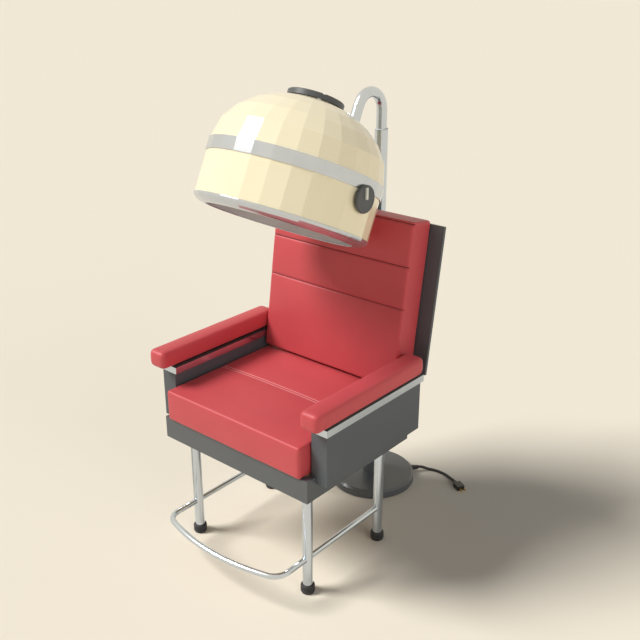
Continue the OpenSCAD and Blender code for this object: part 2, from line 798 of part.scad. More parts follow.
module side_rail(side) color("gainsboro") chair() sided(side) difference() {
    translate([leg_x, leg_y0, rail_z]) rotate([-90, 0, 0]) cylinder(r = rail_d / 2, h = leg_span_y);
    translate([leg_x, leg_y0, rail_z]) rotate([-90, 0, 0])
        cylinder(r = rail_d / 2 - rail_wall, h = leg_span_y);
    leg_copes();
}

module rail_section() {
    difference() {
        circle(r = rail_d / 2);
        circle(r = rail_d / 2 - rail_wall);
    }
}

// A short slug inside the tube's wall joins two lengths of it
module rail_slug() {
    rotate([90, 0, 0]) cylinder(r = rail_d / 2 - rail_wall / 2, h = 2 * over, center = true);
}

// The rail is one tube: straight back to each front leg, a bend at each corner, and a bow
module foot_rail() color("gainsboro") chair() translate([0, bow_y, rail_z]) {
    rotate([0, 0, -90 - bow_turn]) rotate_extrude(angle = 2 * bow_turn, $fn = bow_sides)
        translate([rail_bow_r, 0]) rail_section();
    for (side = [0, 1]) mirror([side, 0, 0]) {
        rotate([0, 0, bow_turn - 90]) {
            translate([rail_bow_r, 0, 0]) rail_slug();
            translate([rail_bow_r - rail_corner_r, 0])
                rotate_extrude(angle = 90 - bow_turn) translate([rail_corner_r, 0]) rail_section();
        }
        translate([leg_x, corner_y0 - bow_y, 0]) rail_slug();
        difference() {
            translate([leg_x, corner_y0 - bow_y, 0]) rotate([-90, 0, 0])
                linear_extrude(rail_reach) rail_section();
            translate([leg_x, leg_y0 - bow_y, -rail_d])
                cylinder(r = leg_r + fit_gap / 2, h = 2 * rail_d);
        }
    }
}

module tie_bolt_places() {
    for (sx = [-1, 1])
        translate([sx * (tie_w / 2 - tie_ring_wall - head_r), frame_y1 - rail_t / 2, frame_z]) children();
}

module tie_bracket() color("dimgray") chair() difference() {
    union() {
        translate([0, 0, frame_z - tie_t]) linear_extrude(tie_t) polygon([
            [-tie_w / 2, frame_y1 - rail_t], [tie_w / 2, frame_y1 - rail_t],
            [tie_w / 2, frame_y1], [column_r, column_y], [-column_r, column_y], [-tie_w / 2, frame_y1]
        ]);
        translate([0, column_y, frame_z - tie_t]) cylinder(r = column_r + tie_ring_wall, h = tie_ring_h);
    }
    translate([0, column_y, frame_z - tie_t - over])
        cylinder(r = column_r + run_gap, h = tie_ring_h + 2 * over);
    tie_bolt_places() translate([0, 0, -tie_t - over]) cylinder(r = bolt_hole_r, h = tie_t + 2 * over);
}

module tie_bolts() color("silver") chair() tie_bolt_places()
    translate([0, 0, -tie_t]) bolt(bolt_r, tie_t + tie_bolt_in, head_r, head_h);

module stand_base() color("dimgray") chair() translate([0, column_y, 0]) difference() {
    union() {
        translate([0, 0, base_pad_t]) cylinder(r = base_d / 2, h = base_h - base_chamfer);
        translate([0, 0, base_top - base_chamfer])
            cylinder(r1 = base_d / 2, r2 = base_d / 2 - base_chamfer, h = base_chamfer);
        translate([0, 0, base_top - over]) cylinder(r = hub_d / 2, h = hub_h - hub_chamfer + over);
        translate([0, 0, base_top + hub_h - hub_chamfer])
            cylinder(r1 = hub_d / 2, r2 = hub_d / 2 - hub_chamfer, h = hub_chamfer);
    }
    translate([0, 0, column_z0]) cylinder(r = column_r + run_gap, h = base_top + hub_h);
    rotate([0, 0, outlet_turn]) translate([0, 0, outlet_z]) rotate([0, 90, 0]) {
        cylinder(r = cord_r + fit_gap, h = base_d / 2);
        translate([0, 0, base_d / 2 - relief_in])
            cylinder(r = relief_plug_r + fit_gap / 2, h = relief_in + over);
    }
}

module base_pad() color("black") chair() translate([0, column_y, 0])
    cylinder(r = base_d / 2 - base_chamfer, h = base_pad_t);

// The column has a key inside its wall, which keeps the neck from turning
module column() color("gainsboro") chair() translate([0, column_y, column_z0]) {
    difference() {
        cylinder(r = column_r, h = column_top - column_z0);
        translate([0, 0, -over]) cylinder(r = bore_r, h = column_top - column_z0 + 2 * over);
    }
    translate([-key_w / 2, bore_r - key_t, neck_z0 - bush_len - column_z0])
        cube([key_w, key_t + column_wall / 2, column_top - bush_len - neck_z0]);
}

module column_bush() color("black") chair() translate([0, column_y, column_top]) difference() {
    union() {
        cylinder(r = column_r, h = bush_flange);
        translate([0, 0, -bush_len]) cylinder(r = bore_r - run_gap, h = bush_len + over);
    }
    translate([0, 0, -bush_len - over])
        cylinder(r = neck_r + run_gap, h = bush_len + bush_flange + 2 * over);
}

module cord_relief() color("black") chair() translate([0, column_y, outlet_z]) rotate([0, 0, outlet_turn])
    rotate([0, 90, 0]) difference() {
        union() {
            translate([0, 0, base_d / 2 - relief_in]) cylinder(r = relief_plug_r, h = relief_in);
            translate([0, 0, base_d / 2])
                cylinder(r1 = relief_r0, r2 = relief_r1, h = relief_len - cord_gap);
        }
        translate([0, 0, base_d / 2 - relief_in - over])
            cylinder(r = cord_r + fit_gap, h = relief_in + relief_len + 2 * over);
    }

function unit(v) = v / norm(v);

function cord_dir(i) =
    unit(cord_points[min(i + 1, len(cord_points) - 1)] - cord_points[max(i - 1, 0)]);

function cord_ring(i) =
    let (t = cord_dir(i), side = unit(cross(t, [0, 0, 1])), up = cross(side, t))
    [for (k = [0:cord_sides - 1]) let (a = 360 * k / cord_sides)
        cord_points[i] + cord_r * (cos(a) * side + sin(a) * up)];

module cord() color("black") skin([for (i = [0:len(cord_points) - 1]) cord_ring(i)]);

// Sets a piece at the cord's far end, with z along the cord
module at_plug() {
    last = cord_points[len(cord_points) - 1];
    d = last - cord_points[len(cord_points) - 2];
    translate([last[0], last[1], plug_h / 2]) rotate([0, 0, atan2(d[1], d[0])])
        rotate([0, 90, 0]) children();
}

module plug_body() color("black") at_plug() difference() {
    union() {
        translate([0, 0, cord_gap]) cylinder(r1 = relief_r1, r2 = plug_h / 2, h = plug_taper);
        translate([-plug_h / 2, -plug_w / 2, plug_taper]) cube([plug_h, plug_w, plug_len - plug_taper]);
    }
    for (s = [-1, 1]) translate([-blade_w / 2, s * blade_gap / 2 - blade_h / 2, plug_len / 2])
        cube([blade_w, blade_h, plug_len]);
}

module plug_blades() color("goldenrod") at_plug()
    for (s = [-1, 1]) translate([-blade_w / 2, s * blade_gap / 2 - blade_h / 2, plug_len / 2])
        cube([blade_w, blade_h, plug_len / 2 + blade_len]);

// The neck's path, about the arch's centre
module neck_path(r, extra) {
    rotate_extrude(angle = arch_turn) translate([arch_r, 0]) circle(r = r);
    translate([arch_r, 0, 0]) rotate([90, 0, 0]) cylinder(r = r, h = arch_mid_z - neck_z0 + extra);
    rotate([0, 0, arch_turn]) translate([arch_r, 0, 0]) rotate([-90, 0, 0])
        cylinder(r = r, h = neck_leg_len + extra);
}

// The tube's arch and its short leg are joined by a short slug inside the wall
module neck_tube() color("gainsboro") chair()
    translate([0, column_y - arch_r, arch_mid_z]) rotate([90, 0, 90]) {
        difference() {
            neck_path(neck_r, 0);
            neck_path(neck_r - neck_wall, over);
        }
        rotate([0, 0, arch_turn]) translate([arch_r, 0, 0]) rotate([90, 0, 0])
            cylinder(r = neck_r - neck_wall / 2, h = 2 * over, center = true);
    }

module slide_bush() color("black") chair() translate([0, column_y, neck_z0 - bush_len]) difference() {
    union() {
        cylinder(r = bore_r - run_gap, h = bush_len);
        cylinder(r = neck_r - neck_wall - run_gap, h = bush_len + bush_spigot);
    }
    translate([0, 0, -over]) cylinder(r = shaft_r, h = bush_len + bush_spigot + 2 * over);
    translate([-key_w / 2 - fit_gap, bore_r - key_t - fit_gap, -over])
        cube([key_w + 2 * fit_gap, key_t + over, bush_len + 2 * over]);
}

// The hinge's frame: its middle on the pin, z along the hood's axis
module at_hinge() {
    in_hood() translate([0, hinge_y, hinge_z]) children();
}

module neck_fork() color("gainsboro") at_hinge() difference() {
    union() {
        translate([0, 0, fork_len]) cylinder(r = neck_r - neck_wall - run_gap, h = fork_plug);
        translate([0, 0, lug_r + lug_gap]) cylinder(r = neck_r, h = fork_len - lug_r - lug_gap);
        for (s = [-1, 1]) translate([s * (lug_t / 2 + lug_side_gap + cheek_t / 2) - cheek_t / 2, 0, 0]) {
            rotate([0, 90, 0]) cylinder(r = lug_r, h = cheek_t);
            translate([0, -lug_r, 0]) cube([cheek_t, 2 * lug_r, lug_r + lug_gap + over]);
        }
    }
    translate([-neck_r, 0, 0]) rotate([0, 90, 0]) cylinder(r = pin_r + run_gap, h = neck_d);
}

module tilt_pin() color("silver") at_hinge() {
    translate([-pin_half - pin_head_t / 2, 0, 0]) rotate([0, 90, 0])
        cylinder(r = pin_r, h = 2 * pin_half + pin_head_t);
    for (s = [0, 1]) mirror([s, 0, 0]) translate([pin_half, 0, 0]) rotate([0, 90, 0])
        cylinder(r = pin_r + pin_lip, h = pin_head_t);
}

// Solid under the dome's curve, its radius and height drawn in by t
module dome_solid(t) {
    curve = dome_arc(hood_r - t, dome_rise - t, belt_z, 0, acos(vent_r / (hood_r - t)));
    rotate_extrude($fn = dome_sides) polygon(concat(
        [[0, -belt_h], [hood_r - t, -belt_h]], curve, [[0, curve[dome_steps][1]]]
    ));
}

// The bracket's frame: its middle on the dome's surface below the hinge, z along the normal
module at_bracket() {
    in_hood() translate([0, bracket_y, bracket_z]) rotate([-bracket_lean, 0, 0]) children();
}

module bracket_bolt_places() {
    for (sx = [-1, 1], sy = [-1, 1]) translate([sx * bracket_bolt_x, sy * bracket_bolt_y, 0]) children();
}

module hood_bracket() color("gainsboro") {
    difference() {
        at_bracket() translate([-bracket_w / 2, -bracket_len / 2, -bracket_t])
            cube([bracket_w, bracket_len, 2 * bracket_t]);
        in_hood() dome_solid(-fit_gap / 2);
        shell_holes();
    }
    at_bracket() translate([-lug_t / 2, 0, hinge_lift]) difference() {
        union() {
            rotate([0, 90, 0]) cylinder(r = lug_r, h = lug_t);
            translate([0, -lug_r, bracket_t / 2 - hinge_lift])
                cube([lug_t, 2 * lug_r, hinge_lift - bracket_t / 2]);
        }
        translate([-over, 0, 0]) rotate([0, 90, 0]) cylinder(r = pin_r + run_gap, h = lug_t + 2 * over);
    }
}

module bracket_bolts() color("silver") at_bracket() bracket_bolt_places()
    translate([0, 0, -bracket_bolt_drop]) bolt(bolt_r, bracket_bolt_drop + bracket_t, head_r, head_h);

// Plate inside the dome that the bracket's bolts draw against
module backing_plate() color("gray") difference() {
    intersection() {
        at_bracket() translate([-bracket_w / 2, -bracket_len / 2, -bracket_bolt_drop])
            cube([bracket_w, bracket_len, bracket_bolt_drop]);
        in_hood() dome_solid(shell_t + fit_gap / 2);
    }
    shell_holes();
}

module shell_holes() {
    at_bracket() bracket_bolt_places() translate([0, 0, -2 * bracket_t])
        cylinder(r = bolt_hole_r, h = 4 * bracket_t);
}

module upper_shell() color("cornsilk") difference() {
    in_hood() rotate_extrude() polygon(concat(
        [[hood_r, chassis_t / 2 + fit_gap / 2]],
        dome_arc(hood_r, dome_rise, belt_z, 0, acos(vent_r / hood_r)),
        dome_arc(dome_a, dome_b, belt_z, acos(vent_r / dome_a), 0),
        [[dome_a, chassis_t / 2 + fit_gap / 2]]
    ));
    shell_holes();
}

module at_knob() {
    in_hood() rotate([0, 0, -knob_turn]) translate([0, 0, -knob_drop]) rotate([0, 90, 0]) children();
}

module lower_shell() color("cornsilk") difference() {
    in_hood() difference() {
        translate([0, 0, -skirt_h]) cylinder(r = hood_r, h = skirt_h - chassis_t / 2 - fit_gap / 2);
        translate([0, 0, -skirt_h - over]) cylinder(r = hood_r - shell_t, h = skirt_h + over);
    }
    at_knob() cylinder(r = neck_bush_r + fit_gap, h = knob_in);
}

module belt() color("gainsboro") in_hood() difference() {
    translate([0, 0, -belt_z]) cylinder(r = hood_r + belt_t, h = belt_h);
    translate([0, 0, -belt_z - over]) cylinder(r = hood_r + fit_gap / 2, h = belt_h + 2 * over);
}

module rim() color("gainsboro") in_hood() rotate_extrude() polygon([
    [hood_r + rim_lip, -skirt_h - fit_gap / 2],
    [hood_r + rim_lip, -skirt_h - rim_t],
    [rim_in_r + 2 * rim_t, -skirt_h - rim_drop],
    [rim_in_r, -skirt_h - rim_drop],
    [rim_in_r, -skirt_h - rim_drop + rim_t],
    [rim_in_r + 2 * rim_t, -skirt_h - rim_drop + rim_t],
    [hood_r - shell_t - rim_t, -skirt_h],
    [hood_r - shell_t - rim_t, -skirt_h + rim_up],
    [hood_r - shell_t - fit_gap / 2, -skirt_h + rim_up],
    [hood_r - shell_t - fit_gap / 2, -skirt_h - fit_gap / 2]
]);

module inner_bowl() color("silver") in_hood() difference() {
    rotate_extrude() polygon(concat(
        [
            [bowl_r - bowl_t, bowl_foot], [bowl_r, bowl_foot],
            [bowl_r, -chassis_t / 2 - bowl_t], [bowl_r + bowl_flange, -chassis_t / 2 - bowl_t],
            [bowl_r + bowl_flange, -chassis_t / 2], [bowl_r, -chassis_t / 2]
        ],
        bowl_arc(0, 0, 90),
        [[0, bowl_top], [0, bowl_top - bowl_t]],
        bowl_arc(bowl_t, 90, 0)
    ));
    for (ring = [1:bowl_rings], k = [0:bowl_holes * ring - 1])
        rotate([0, 0, 360 * k / (bowl_holes * ring)])
            translate([ring * bowl_top_r / (bowl_rings + 1), 0, bowl_top - bowl_t - over])
                cylinder(r = bowl_hole_r, h = bowl_t + 2 * over);
}

// The bowl's shoulder, from its wall up to its flat top, drawn in by t
function bowl_arc(t, a0, a1) =
    [for (k = [0:dome_steps]) let (a = a0 + (a1 - a0) * k / dome_steps)
        [bowl_top_r + (bowl_r - bowl_top_r - t) * cos(a), (bowl_top - t) * sin(a)]];

module chassis_ring() color("silver") in_hood() difference() {
    translate([0, 0, -chassis_t / 2]) cylinder(r = hood_r, h = chassis_t);
    translate([0, 0, -chassis_t]) cylinder(r = bowl_r + fit_gap, h = 2 * chassis_t);
}

module motor_spider() color("gray") in_hood() difference() {
    union() {
        translate([0, 0, spider_z]) cylinder(r = spider_r, h = strap_t);
        for (k = [0:3]) rotate([0, 0, 45 + 90 * k]) rotate([90, 0, 0])
            translate([0, 0, -strap_w / 2]) linear_extrude(strap_w) polygon([
                [0, spider_z], [strap_top_r, spider_z],
                [strap_foot_r - strap_t, chassis_t / 2 + strap_t],
                [strap_foot_r - strap_foot_len, chassis_t / 2 + strap_t],
                [strap_foot_r - strap_foot_len, chassis_t / 2],
                [strap_foot_r, chassis_t / 2],
                [strap_foot_r, chassis_t / 2 + strap_t],
                [strap_top_r + strap_t, spider_z],
                [strap_top_r + strap_t, spider_z + strap_t], [0, spider_z + strap_t]
            ]);
    }
    translate([0, 0, spider_z - over]) cylinder(r = hub_r, h = strap_t + 2 * over);
}

module motor() color("gray") in_hood() difference() {
    translate([0, 0, spider_z + strap_t]) cylinder(r = motor_r, h = motor_h);
    translate([0, 0, spider_z + strap_t - over])
        cylinder(r = shaft_r + run_gap, h = motor_h - shell_t + over);
}

module coil_ring(k, r) {
    translate([0, 0, coil_z + k * coil_pitch]) rotate_extrude() translate([coil_r, 0]) circle(r = r);
}

module heater() color("peru") in_hood() {
    for (k = [0:coil_turns - 1]) coil_ring(k, coil_wire_r);
    difference() {
        for (k = [0:mica_count - 1]) rotate([0, 0, 360 * k / mica_count])
            translate([coil_r - mica_w / 2, -mica_t / 2, chassis_t / 2])
                cube([mica_w, mica_t, mica_top - chassis_t / 2]);
        for (k = [0:mica_count - 1], turn = [0:coil_turns - 1]) rotate([0, 0, 360 * k / mica_count])
            translate([coil_r, mica_t, coil_z + turn * coil_pitch]) rotate([90, 0, 0])
                cylinder(r = coil_wire_r + fit_gap / 2, h = 2 * mica_t);
    }
}

module fan() color("gray") in_hood() {
    translate([0, 0, fan_z + fan_h - fan_plate_t]) cylinder(r = fan_r, h = fan_plate_t);
    translate([0, 0, fan_z]) cylinder(r = hub_r - shell_t, h = fan_h);
    translate([0, 0, fan_z]) cylinder(r = shaft_r, h = spider_z + motor_h / 2 - fan_z);
    for (k = [0:fan_blades - 1]) rotate([0, 0, 360 * k / fan_blades])
        translate([fan_r / 2, 0, fan_z]) rotate([0, 0, blade_lean])
            translate([0, -blade_t / 2, 0]) cube([fan_r / 2 - blade_t, blade_t, fan_h - over]);
}

module vent_slots(h) {
    for (k = [0:cap_slots - 1]) rotate([0, 0, 360 * k / cap_slots + slot_turn])
        translate([slot_r0, -slot_w / 2, 0]) cube([slot_r1 - slot_r0, slot_w, h]);
}

module vent_seat() color("dimgray") in_hood() difference() {
    union() {
        translate([0, 0, vent_top - seat_t]) cylinder(r = vent_r - fit_gap, h = seat_t);
        translate([0, 0, vent_top - seat_t - vent_lip])
            cylinder(r = vent_r - fit_gap, h = vent_lip);
        translate([0, 0, vent_top]) cylinder(r = stud_r, h = cap_z + cap_h - vent_top);
        translate([0, 0, vent_top])
            cylinder(r = 2 * stud_r, h = cap_z + cap_h - cap_t - vent_top - fit_gap);
    }
    translate([0, 0, vent_top - 2 * seat_t - vent_lip]) cylinder(r = slot_r1 + over, h = seat_t + vent_lip);
    translate([0, 0, vent_top - 2 * seat_t]) vent_slots(3 * seat_t);
}

module vent_cap() color("dimgray") in_hood() difference() {
    translate([0, 0, cap_z]) {
        cylinder(r = cap_r, h = cap_h - cap_chamfer);
        translate([0, 0, cap_h - cap_chamfer])
            cylinder(r1 = cap_r, r2 = cap_r - cap_chamfer, h = cap_chamfer);
    }
    translate([0, 0, cap_z - over]) cylinder(r = cap_r - cap_t, h = cap_h - cap_t + over);
    translate([0, 0, cap_z]) cylinder(r = stud_r + run_gap, h = cap_h + over);
    translate([0, 0, cap_z + cap_h - 2 * cap_t]) vent_slots(3 * cap_t);
    for (k = [0, 1]) rotate([0, 0, grip_turn + 180 * k])
        translate([cap_r - grip_len, -grip_w / 2, cap_z + cap_h - grip_depth])
            cube([grip_len + over, grip_w, grip_depth + over]);
}

module timer() color("black") at_knob() difference() {
    union() {
        translate([-timer_h / 2, -timer_w / 2, hood_r - shell_t - timer_d - timer_gap])
            cube([timer_h, timer_w, timer_d]);
        cylinder(r = neck_bush_r, h = knob_in - fit_gap);
    }
    translate([0, 0, -over]) cylinder(r = spindle_r + run_gap, h = knob_in + 2 * over);
    translate([-timer_h, -timer_w, -over])
        cube([2 * timer_h, 2 * timer_w, hood_r - shell_t - timer_d - timer_gap + over]);
}

module control_knob() color("dimgray") at_knob() {
    translate([0, 0, knob_in]) cylinder(r = knob_r, h = knob_t - knob_chamfer);
    translate([0, 0, knob_in + knob_t - knob_chamfer])
        cylinder(r1 = knob_r, r2 = knob_r - knob_chamfer, h = knob_chamfer);
    translate([0, 0, spindle_in]) cylinder(r = spindle_r, h = knob_in - spindle_in + over);
    rotate([0, 0, pointer_turn]) translate([0, -pointer_w / 2, knob_in + knob_t - over])
        cube([pointer_len, pointer_w, pointer_t + over]);
}

seat_frame();
seat_deck();
side_panel("left");  // side_panel_left
side_panel("right");  // side_panel_right
panel_bolts();
arm_strip("left");  // arm_strip_left
arm_strip("right");  // arm_strip_right
pad_board("left");  // pad_board_left
pad_board("right");  // pad_board_right
strip_screws();
arm_pad("left");  // arm_pad_left
arm_pad("right");  // arm_pad_right
seat_cushion();
back_cushion();
back_board();
back_wedges();
back_bolts();
at_leg(-1, -1) leg();  // leg_front_left
at_leg(1, -1) leg();  // leg_front_right
at_leg(-1, 1) leg();  // leg_rear_left
at_leg(1, 1) leg();  // leg_rear_right
leg_screws();
at_leg(-1, -1) foot();  // foot_front_left
at_leg(1, -1) foot();  // foot_front_right
at_leg(-1, 1) foot();  // foot_rear_left
at_leg(1, 1) foot();  // foot_rear_right
side_rail("left");  // side_rail_left
side_rail("right");  // side_rail_right
foot_rail();
tie_bracket();
tie_bolts();
stand_base();
base_pad();
column();
column_bush();
cord_relief();
cord();
plug_body();
plug_blades();
neck_tube();
slide_bush();
neck_fork();
tilt_pin();
hood_bracket();
backing_plate();
bracket_bolts();
upper_shell();
lower_shell();
belt();
rim();
inner_bowl();
chassis_ring();
motor_spider();
motor();
heater();
vent_seat();
fan();
vent_cap();
timer();
control_knob();
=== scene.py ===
# %% [markdown]
# # Hooded dryer chair
# The chair is finished over its engineering model. Every piece is in metres, in the model's
# own frame: the chair faces -Y, +Z is up, and the floor is at zero. The measured pieces come
# in with the frame. What follows gives them edges, seams, threads, screws and finishes.

# %% Bring in the measured model
import json
import math

import bmesh
import bpy
import numpy as np
from mathutils import Matrix, Vector, noise
from mathutils.bvhtree import BVHTree


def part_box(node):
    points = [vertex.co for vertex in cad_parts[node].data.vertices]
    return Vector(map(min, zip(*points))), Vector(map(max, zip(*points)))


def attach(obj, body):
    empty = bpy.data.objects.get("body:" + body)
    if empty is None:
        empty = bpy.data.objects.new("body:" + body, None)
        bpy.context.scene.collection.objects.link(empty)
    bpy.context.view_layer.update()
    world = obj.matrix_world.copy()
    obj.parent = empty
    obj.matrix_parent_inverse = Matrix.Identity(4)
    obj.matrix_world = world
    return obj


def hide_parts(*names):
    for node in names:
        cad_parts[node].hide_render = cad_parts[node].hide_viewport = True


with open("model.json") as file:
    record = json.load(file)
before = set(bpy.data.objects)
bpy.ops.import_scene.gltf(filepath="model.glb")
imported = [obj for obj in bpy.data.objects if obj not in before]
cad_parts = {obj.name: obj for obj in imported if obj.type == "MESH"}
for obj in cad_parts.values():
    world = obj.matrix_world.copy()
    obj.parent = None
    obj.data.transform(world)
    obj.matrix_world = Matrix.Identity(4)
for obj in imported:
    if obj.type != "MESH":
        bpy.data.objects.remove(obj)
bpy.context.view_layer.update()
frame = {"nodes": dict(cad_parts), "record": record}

scene = bpy.context.scene
nodes = frame["nodes"]
MM = 0.001

# %% [markdown]
# ## Camera
# The camera stands in front of the chair and to its right, a little above the hood, as the
# photograph was taken: a 50 mm lens, looking down by 22 degrees.

# %% Set the camera
CAMERA_SPOT = (1.4961, -1.7324, 1.5939)
CAMERA_TURN = 40.35
CAMERA_PITCH = 22.405
LENS = 50
SENSOR = 36


def add(name, data):
    """Adds an object to the scene, at the origin."""
    made = bpy.data.objects.new(name, data)
    scene.collection.objects.link(made)
    return made


camera = add("camera", bpy.data.cameras.new("camera"))
camera.location = CAMERA_SPOT
camera.rotation_euler = (math.radians(90 - CAMERA_PITCH), 0, math.radians(CAMERA_TURN))
camera.data.lens = LENS
camera.data.sensor_width = SENSOR
scene.camera = camera
print("camera at", CAMERA_SPOT)

# %% [markdown]
# ## The small tools of the workshop
# A few short functions do what a maker's hands repeat: place a mesh, fix its modifiers into
# it, add a node to a tree with its inputs, and read a colour as it is written on a chart.

# %% Workshop functions


def linear(code):
    """A colour written as #rrggbb, as the linear numbers that a shader takes."""
    parts = [int(code[k:k + 2], 16) / 255 for k in (1, 3, 5)]
    return [v / 12.92 if v <= 0.04045 else ((v + 0.055) / 1.055) ** 2.4 for v in parts] + [1.0]


def node(tree, kind, wires=None, **settings):
    """Adds a node. Each wire is an input's name or number with a value or another's output."""
    made = tree.nodes.new(kind)
    for key, value in settings.items():
        setattr(made, key, value)
    for key, value in (wires or {}).items():
        if isinstance(value, bpy.types.NodeSocket):
            tree.links.new(value, made.inputs[key])
        else:
            made.inputs[key].default_value = value
    return made


def mesh_object(name, verts, faces, edges=()):
    data = bpy.data.meshes.new(name)
    data.from_pydata([tuple(v) for v in verts], list(edges), list(faces))
    data.update()
    return add(name, data)


def fixed(piece):
    """Turns what the modifiers show into the piece's own plain mesh."""
    seen = piece.evaluated_get(bpy.context.evaluated_depsgraph_get())
    made = bpy.data.meshes.new_from_object(seen)
    old = piece.data
    piece.modifiers.clear()
    piece.data = made
    made.name = piece.name
    if old.users == 0:
        bpy.data.meshes.remove(old)
    return piece


def outward(piece):
    """Turns every face's front to the outside."""
    work = bmesh.new()
    work.from_mesh(piece.data)
    bmesh.ops.recalc_face_normals(work, faces=work.faces)
    work.to_mesh(piece.data)
    work.free()
    return piece


def smooth(piece, angle=30):
    """Shades the piece smooth, but keeps the edges that turn by more than the angle."""
    piece.data.shade_smooth()
    piece.data.set_sharp_from_angle(angle=math.radians(angle))
    return piece


def eased(piece, width, segments=2, angle=25):
    """Eases the sharp edges by a small rounding, as a file, a mould or a press leaves them."""
    bevel = piece.modifiers.new("eased", "BEVEL")
    bevel.width = width
    bevel.segments = segments
    bevel.limit_method = "ANGLE"
    bevel.angle_limit = math.radians(angle)
    bevel.use_clamp_overlap = True
    normals = piece.modifiers.new("normals", "WEIGHTED_NORMAL")
    normals.keep_sharp = False
    piece.data.shade_smooth()
    return fixed(piece)


def place_on(piece, body, finish, slot, *replaced):
    """Finishes a piece, sets it on its body, and hides the CAD nodes that it stands for."""
    if finish is not None:
        piece.data.materials.clear()
        piece.data.materials.append(finish)
    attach(piece, body)
    if replaced:
        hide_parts(*replaced)
    return piece


print("functions ready")

# %% [markdown]
# ## Where the main lines are
# The hood leans forward on its hinge and the back leans rearward. Each has its own square
# frame, in which it is easier to build, and one matrix takes a finished piece to its place.

# %% Frames of the hood, the knob and the back
HOOD_MIDDLE = Vector((0, -0.068931, 1.083937))
HOOD_LEAN = 25.8
HOOD_R = 0.229
BELT_HALF = 0.017
DOME_RISE = 0.168
SKIRT = 0.124
KNOB_TURN = 0
KNOB_DROP = 0.036
KNOB_IN = 0.233
BACK_LEAN = 8.4
BACK_FOOT = Vector((0, 0.135698, 0.47701))
BACK_LENGTH = 0.466
BACK_CHANNELS = (0.228, 0.3435, 0.459)
FACETS = 28

hood_frame = Matrix.Translation(HOOD_MIDDLE) @ Matrix.Rotation(-math.radians(HOOD_LEAN), 4, "X")
knob_frame = (
    hood_frame @ Matrix.Rotation(-math.radians(KNOB_TURN), 4, "Z")
    @ Matrix.Translation((0, 0, -KNOB_DROP)) @ Matrix.Rotation(math.radians(90), 4, "Y")
)
back_frame = Matrix.Translation(BACK_FOOT) @ Matrix.Rotation(math.radians(90 - BACK_LEAN), 4, "X")
base_low, base_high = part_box("stand_base")
BASE_MIDDLE = Vector(((base_low[0] + base_high[0]) / 2, (base_low[1] + base_high[1]) / 2, 0))
BASE_R = (base_high[0] - base_low[0]) / 2
print("base middle:", [round(v, 4) for v in BASE_MIDDLE], "radius", round(BASE_R, 4))

# %% [markdown]
# ## The mains cord
# A 9 mm rubber cord leaves the base through a tapered relief, drops to the floor within a few
# diameters, runs in one loose bow to the right, and ends in its plug. Its points are those of
# the engineering model, in multiples of the cord's diameter, joined here by a smooth line.

# %% Lay the cord
CORD_D = 0.009
RELIEF_LEN = 0.0241
OUTLET_TURN = 53.07
CORD_SHAPE = [
    (0, 0, 1.17), (0.33, 0.44, 1.17), (0.72, 0.94, 1.06), (1.22, 1.5, 0.78), (1.89, 2.11, 0.44),
    (2.67, 2.67, 0.11), (3.56, 3.11, 0), (4.56, 3.44, 0), (5.67, 3.67, 0), (6.78, 3.78, 0),
    (7.89, 3.78, 0), (9, 3.67, 0), (10.11, 3.44, 0), (11.17, 3.11, 0), (12.22, 2.67, 0.08),
    (13.22, 2.17, 0.26), (14.17, 1.67, 0.39), (15.11, 1.17, 0.39),
]
outlet = Vector((math.cos(math.radians(OUTLET_TURN)), math.sin(math.radians(OUTLET_TURN)), 0))
cord_start = BASE_MIDDLE + outlet * (BASE_R + RELIEF_LEN) + Vector((0, 0, CORD_D / 2))
cord_points = [cord_start + Vector(p) * CORD_D for p in CORD_SHAPE]


def smooth_line(points, steps):
    """Points of a smooth line through the given ones."""
    ends = [points[0] * 2 - points[1], *points, points[-1] * 2 - points[-2]]
    line = []
    for a, b, c, d in zip(ends, ends[1:], ends[2:], ends[3:]):
        for k in range(steps):
            t = k / steps
            line.append(0.5 * (
                2 * b + (c - a) * t + (2 * a - 5 * b + 4 * c - d) * t * t
                + (3 * b - a - 3 * c + d) * t ** 3
            ))
    return line + [points[-1]]


CORD_STEPS = 6
cord_line = smooth_line(cord_points, CORD_STEPS)
cord_curve = bpy.data.curves.new("mains_cord", "CURVE")
cord_curve.dimensions = "3D"
cord_curve.bevel_depth = CORD_D / 2
cord_curve.bevel_resolution = 6
cord_curve.use_fill_caps = True
spline = cord_curve.splines.new("POLY")
spline.points.add(len(cord_line) - 1)
for point, spot in zip(spline.points, cord_line):
    point.co = (*spot, 1)
spline.use_smooth = True
cord = add("mains_cord", cord_curve)

# %% [markdown]
# ## Finishes
# Each finish is a small recipe over true scales: a tint that drifts between two close colours
# in soft clouds, a surface grain in millimetres that the bump and the gloss follow, and the
# base values that the real material is known for.

# %% The recipe that the finishes share


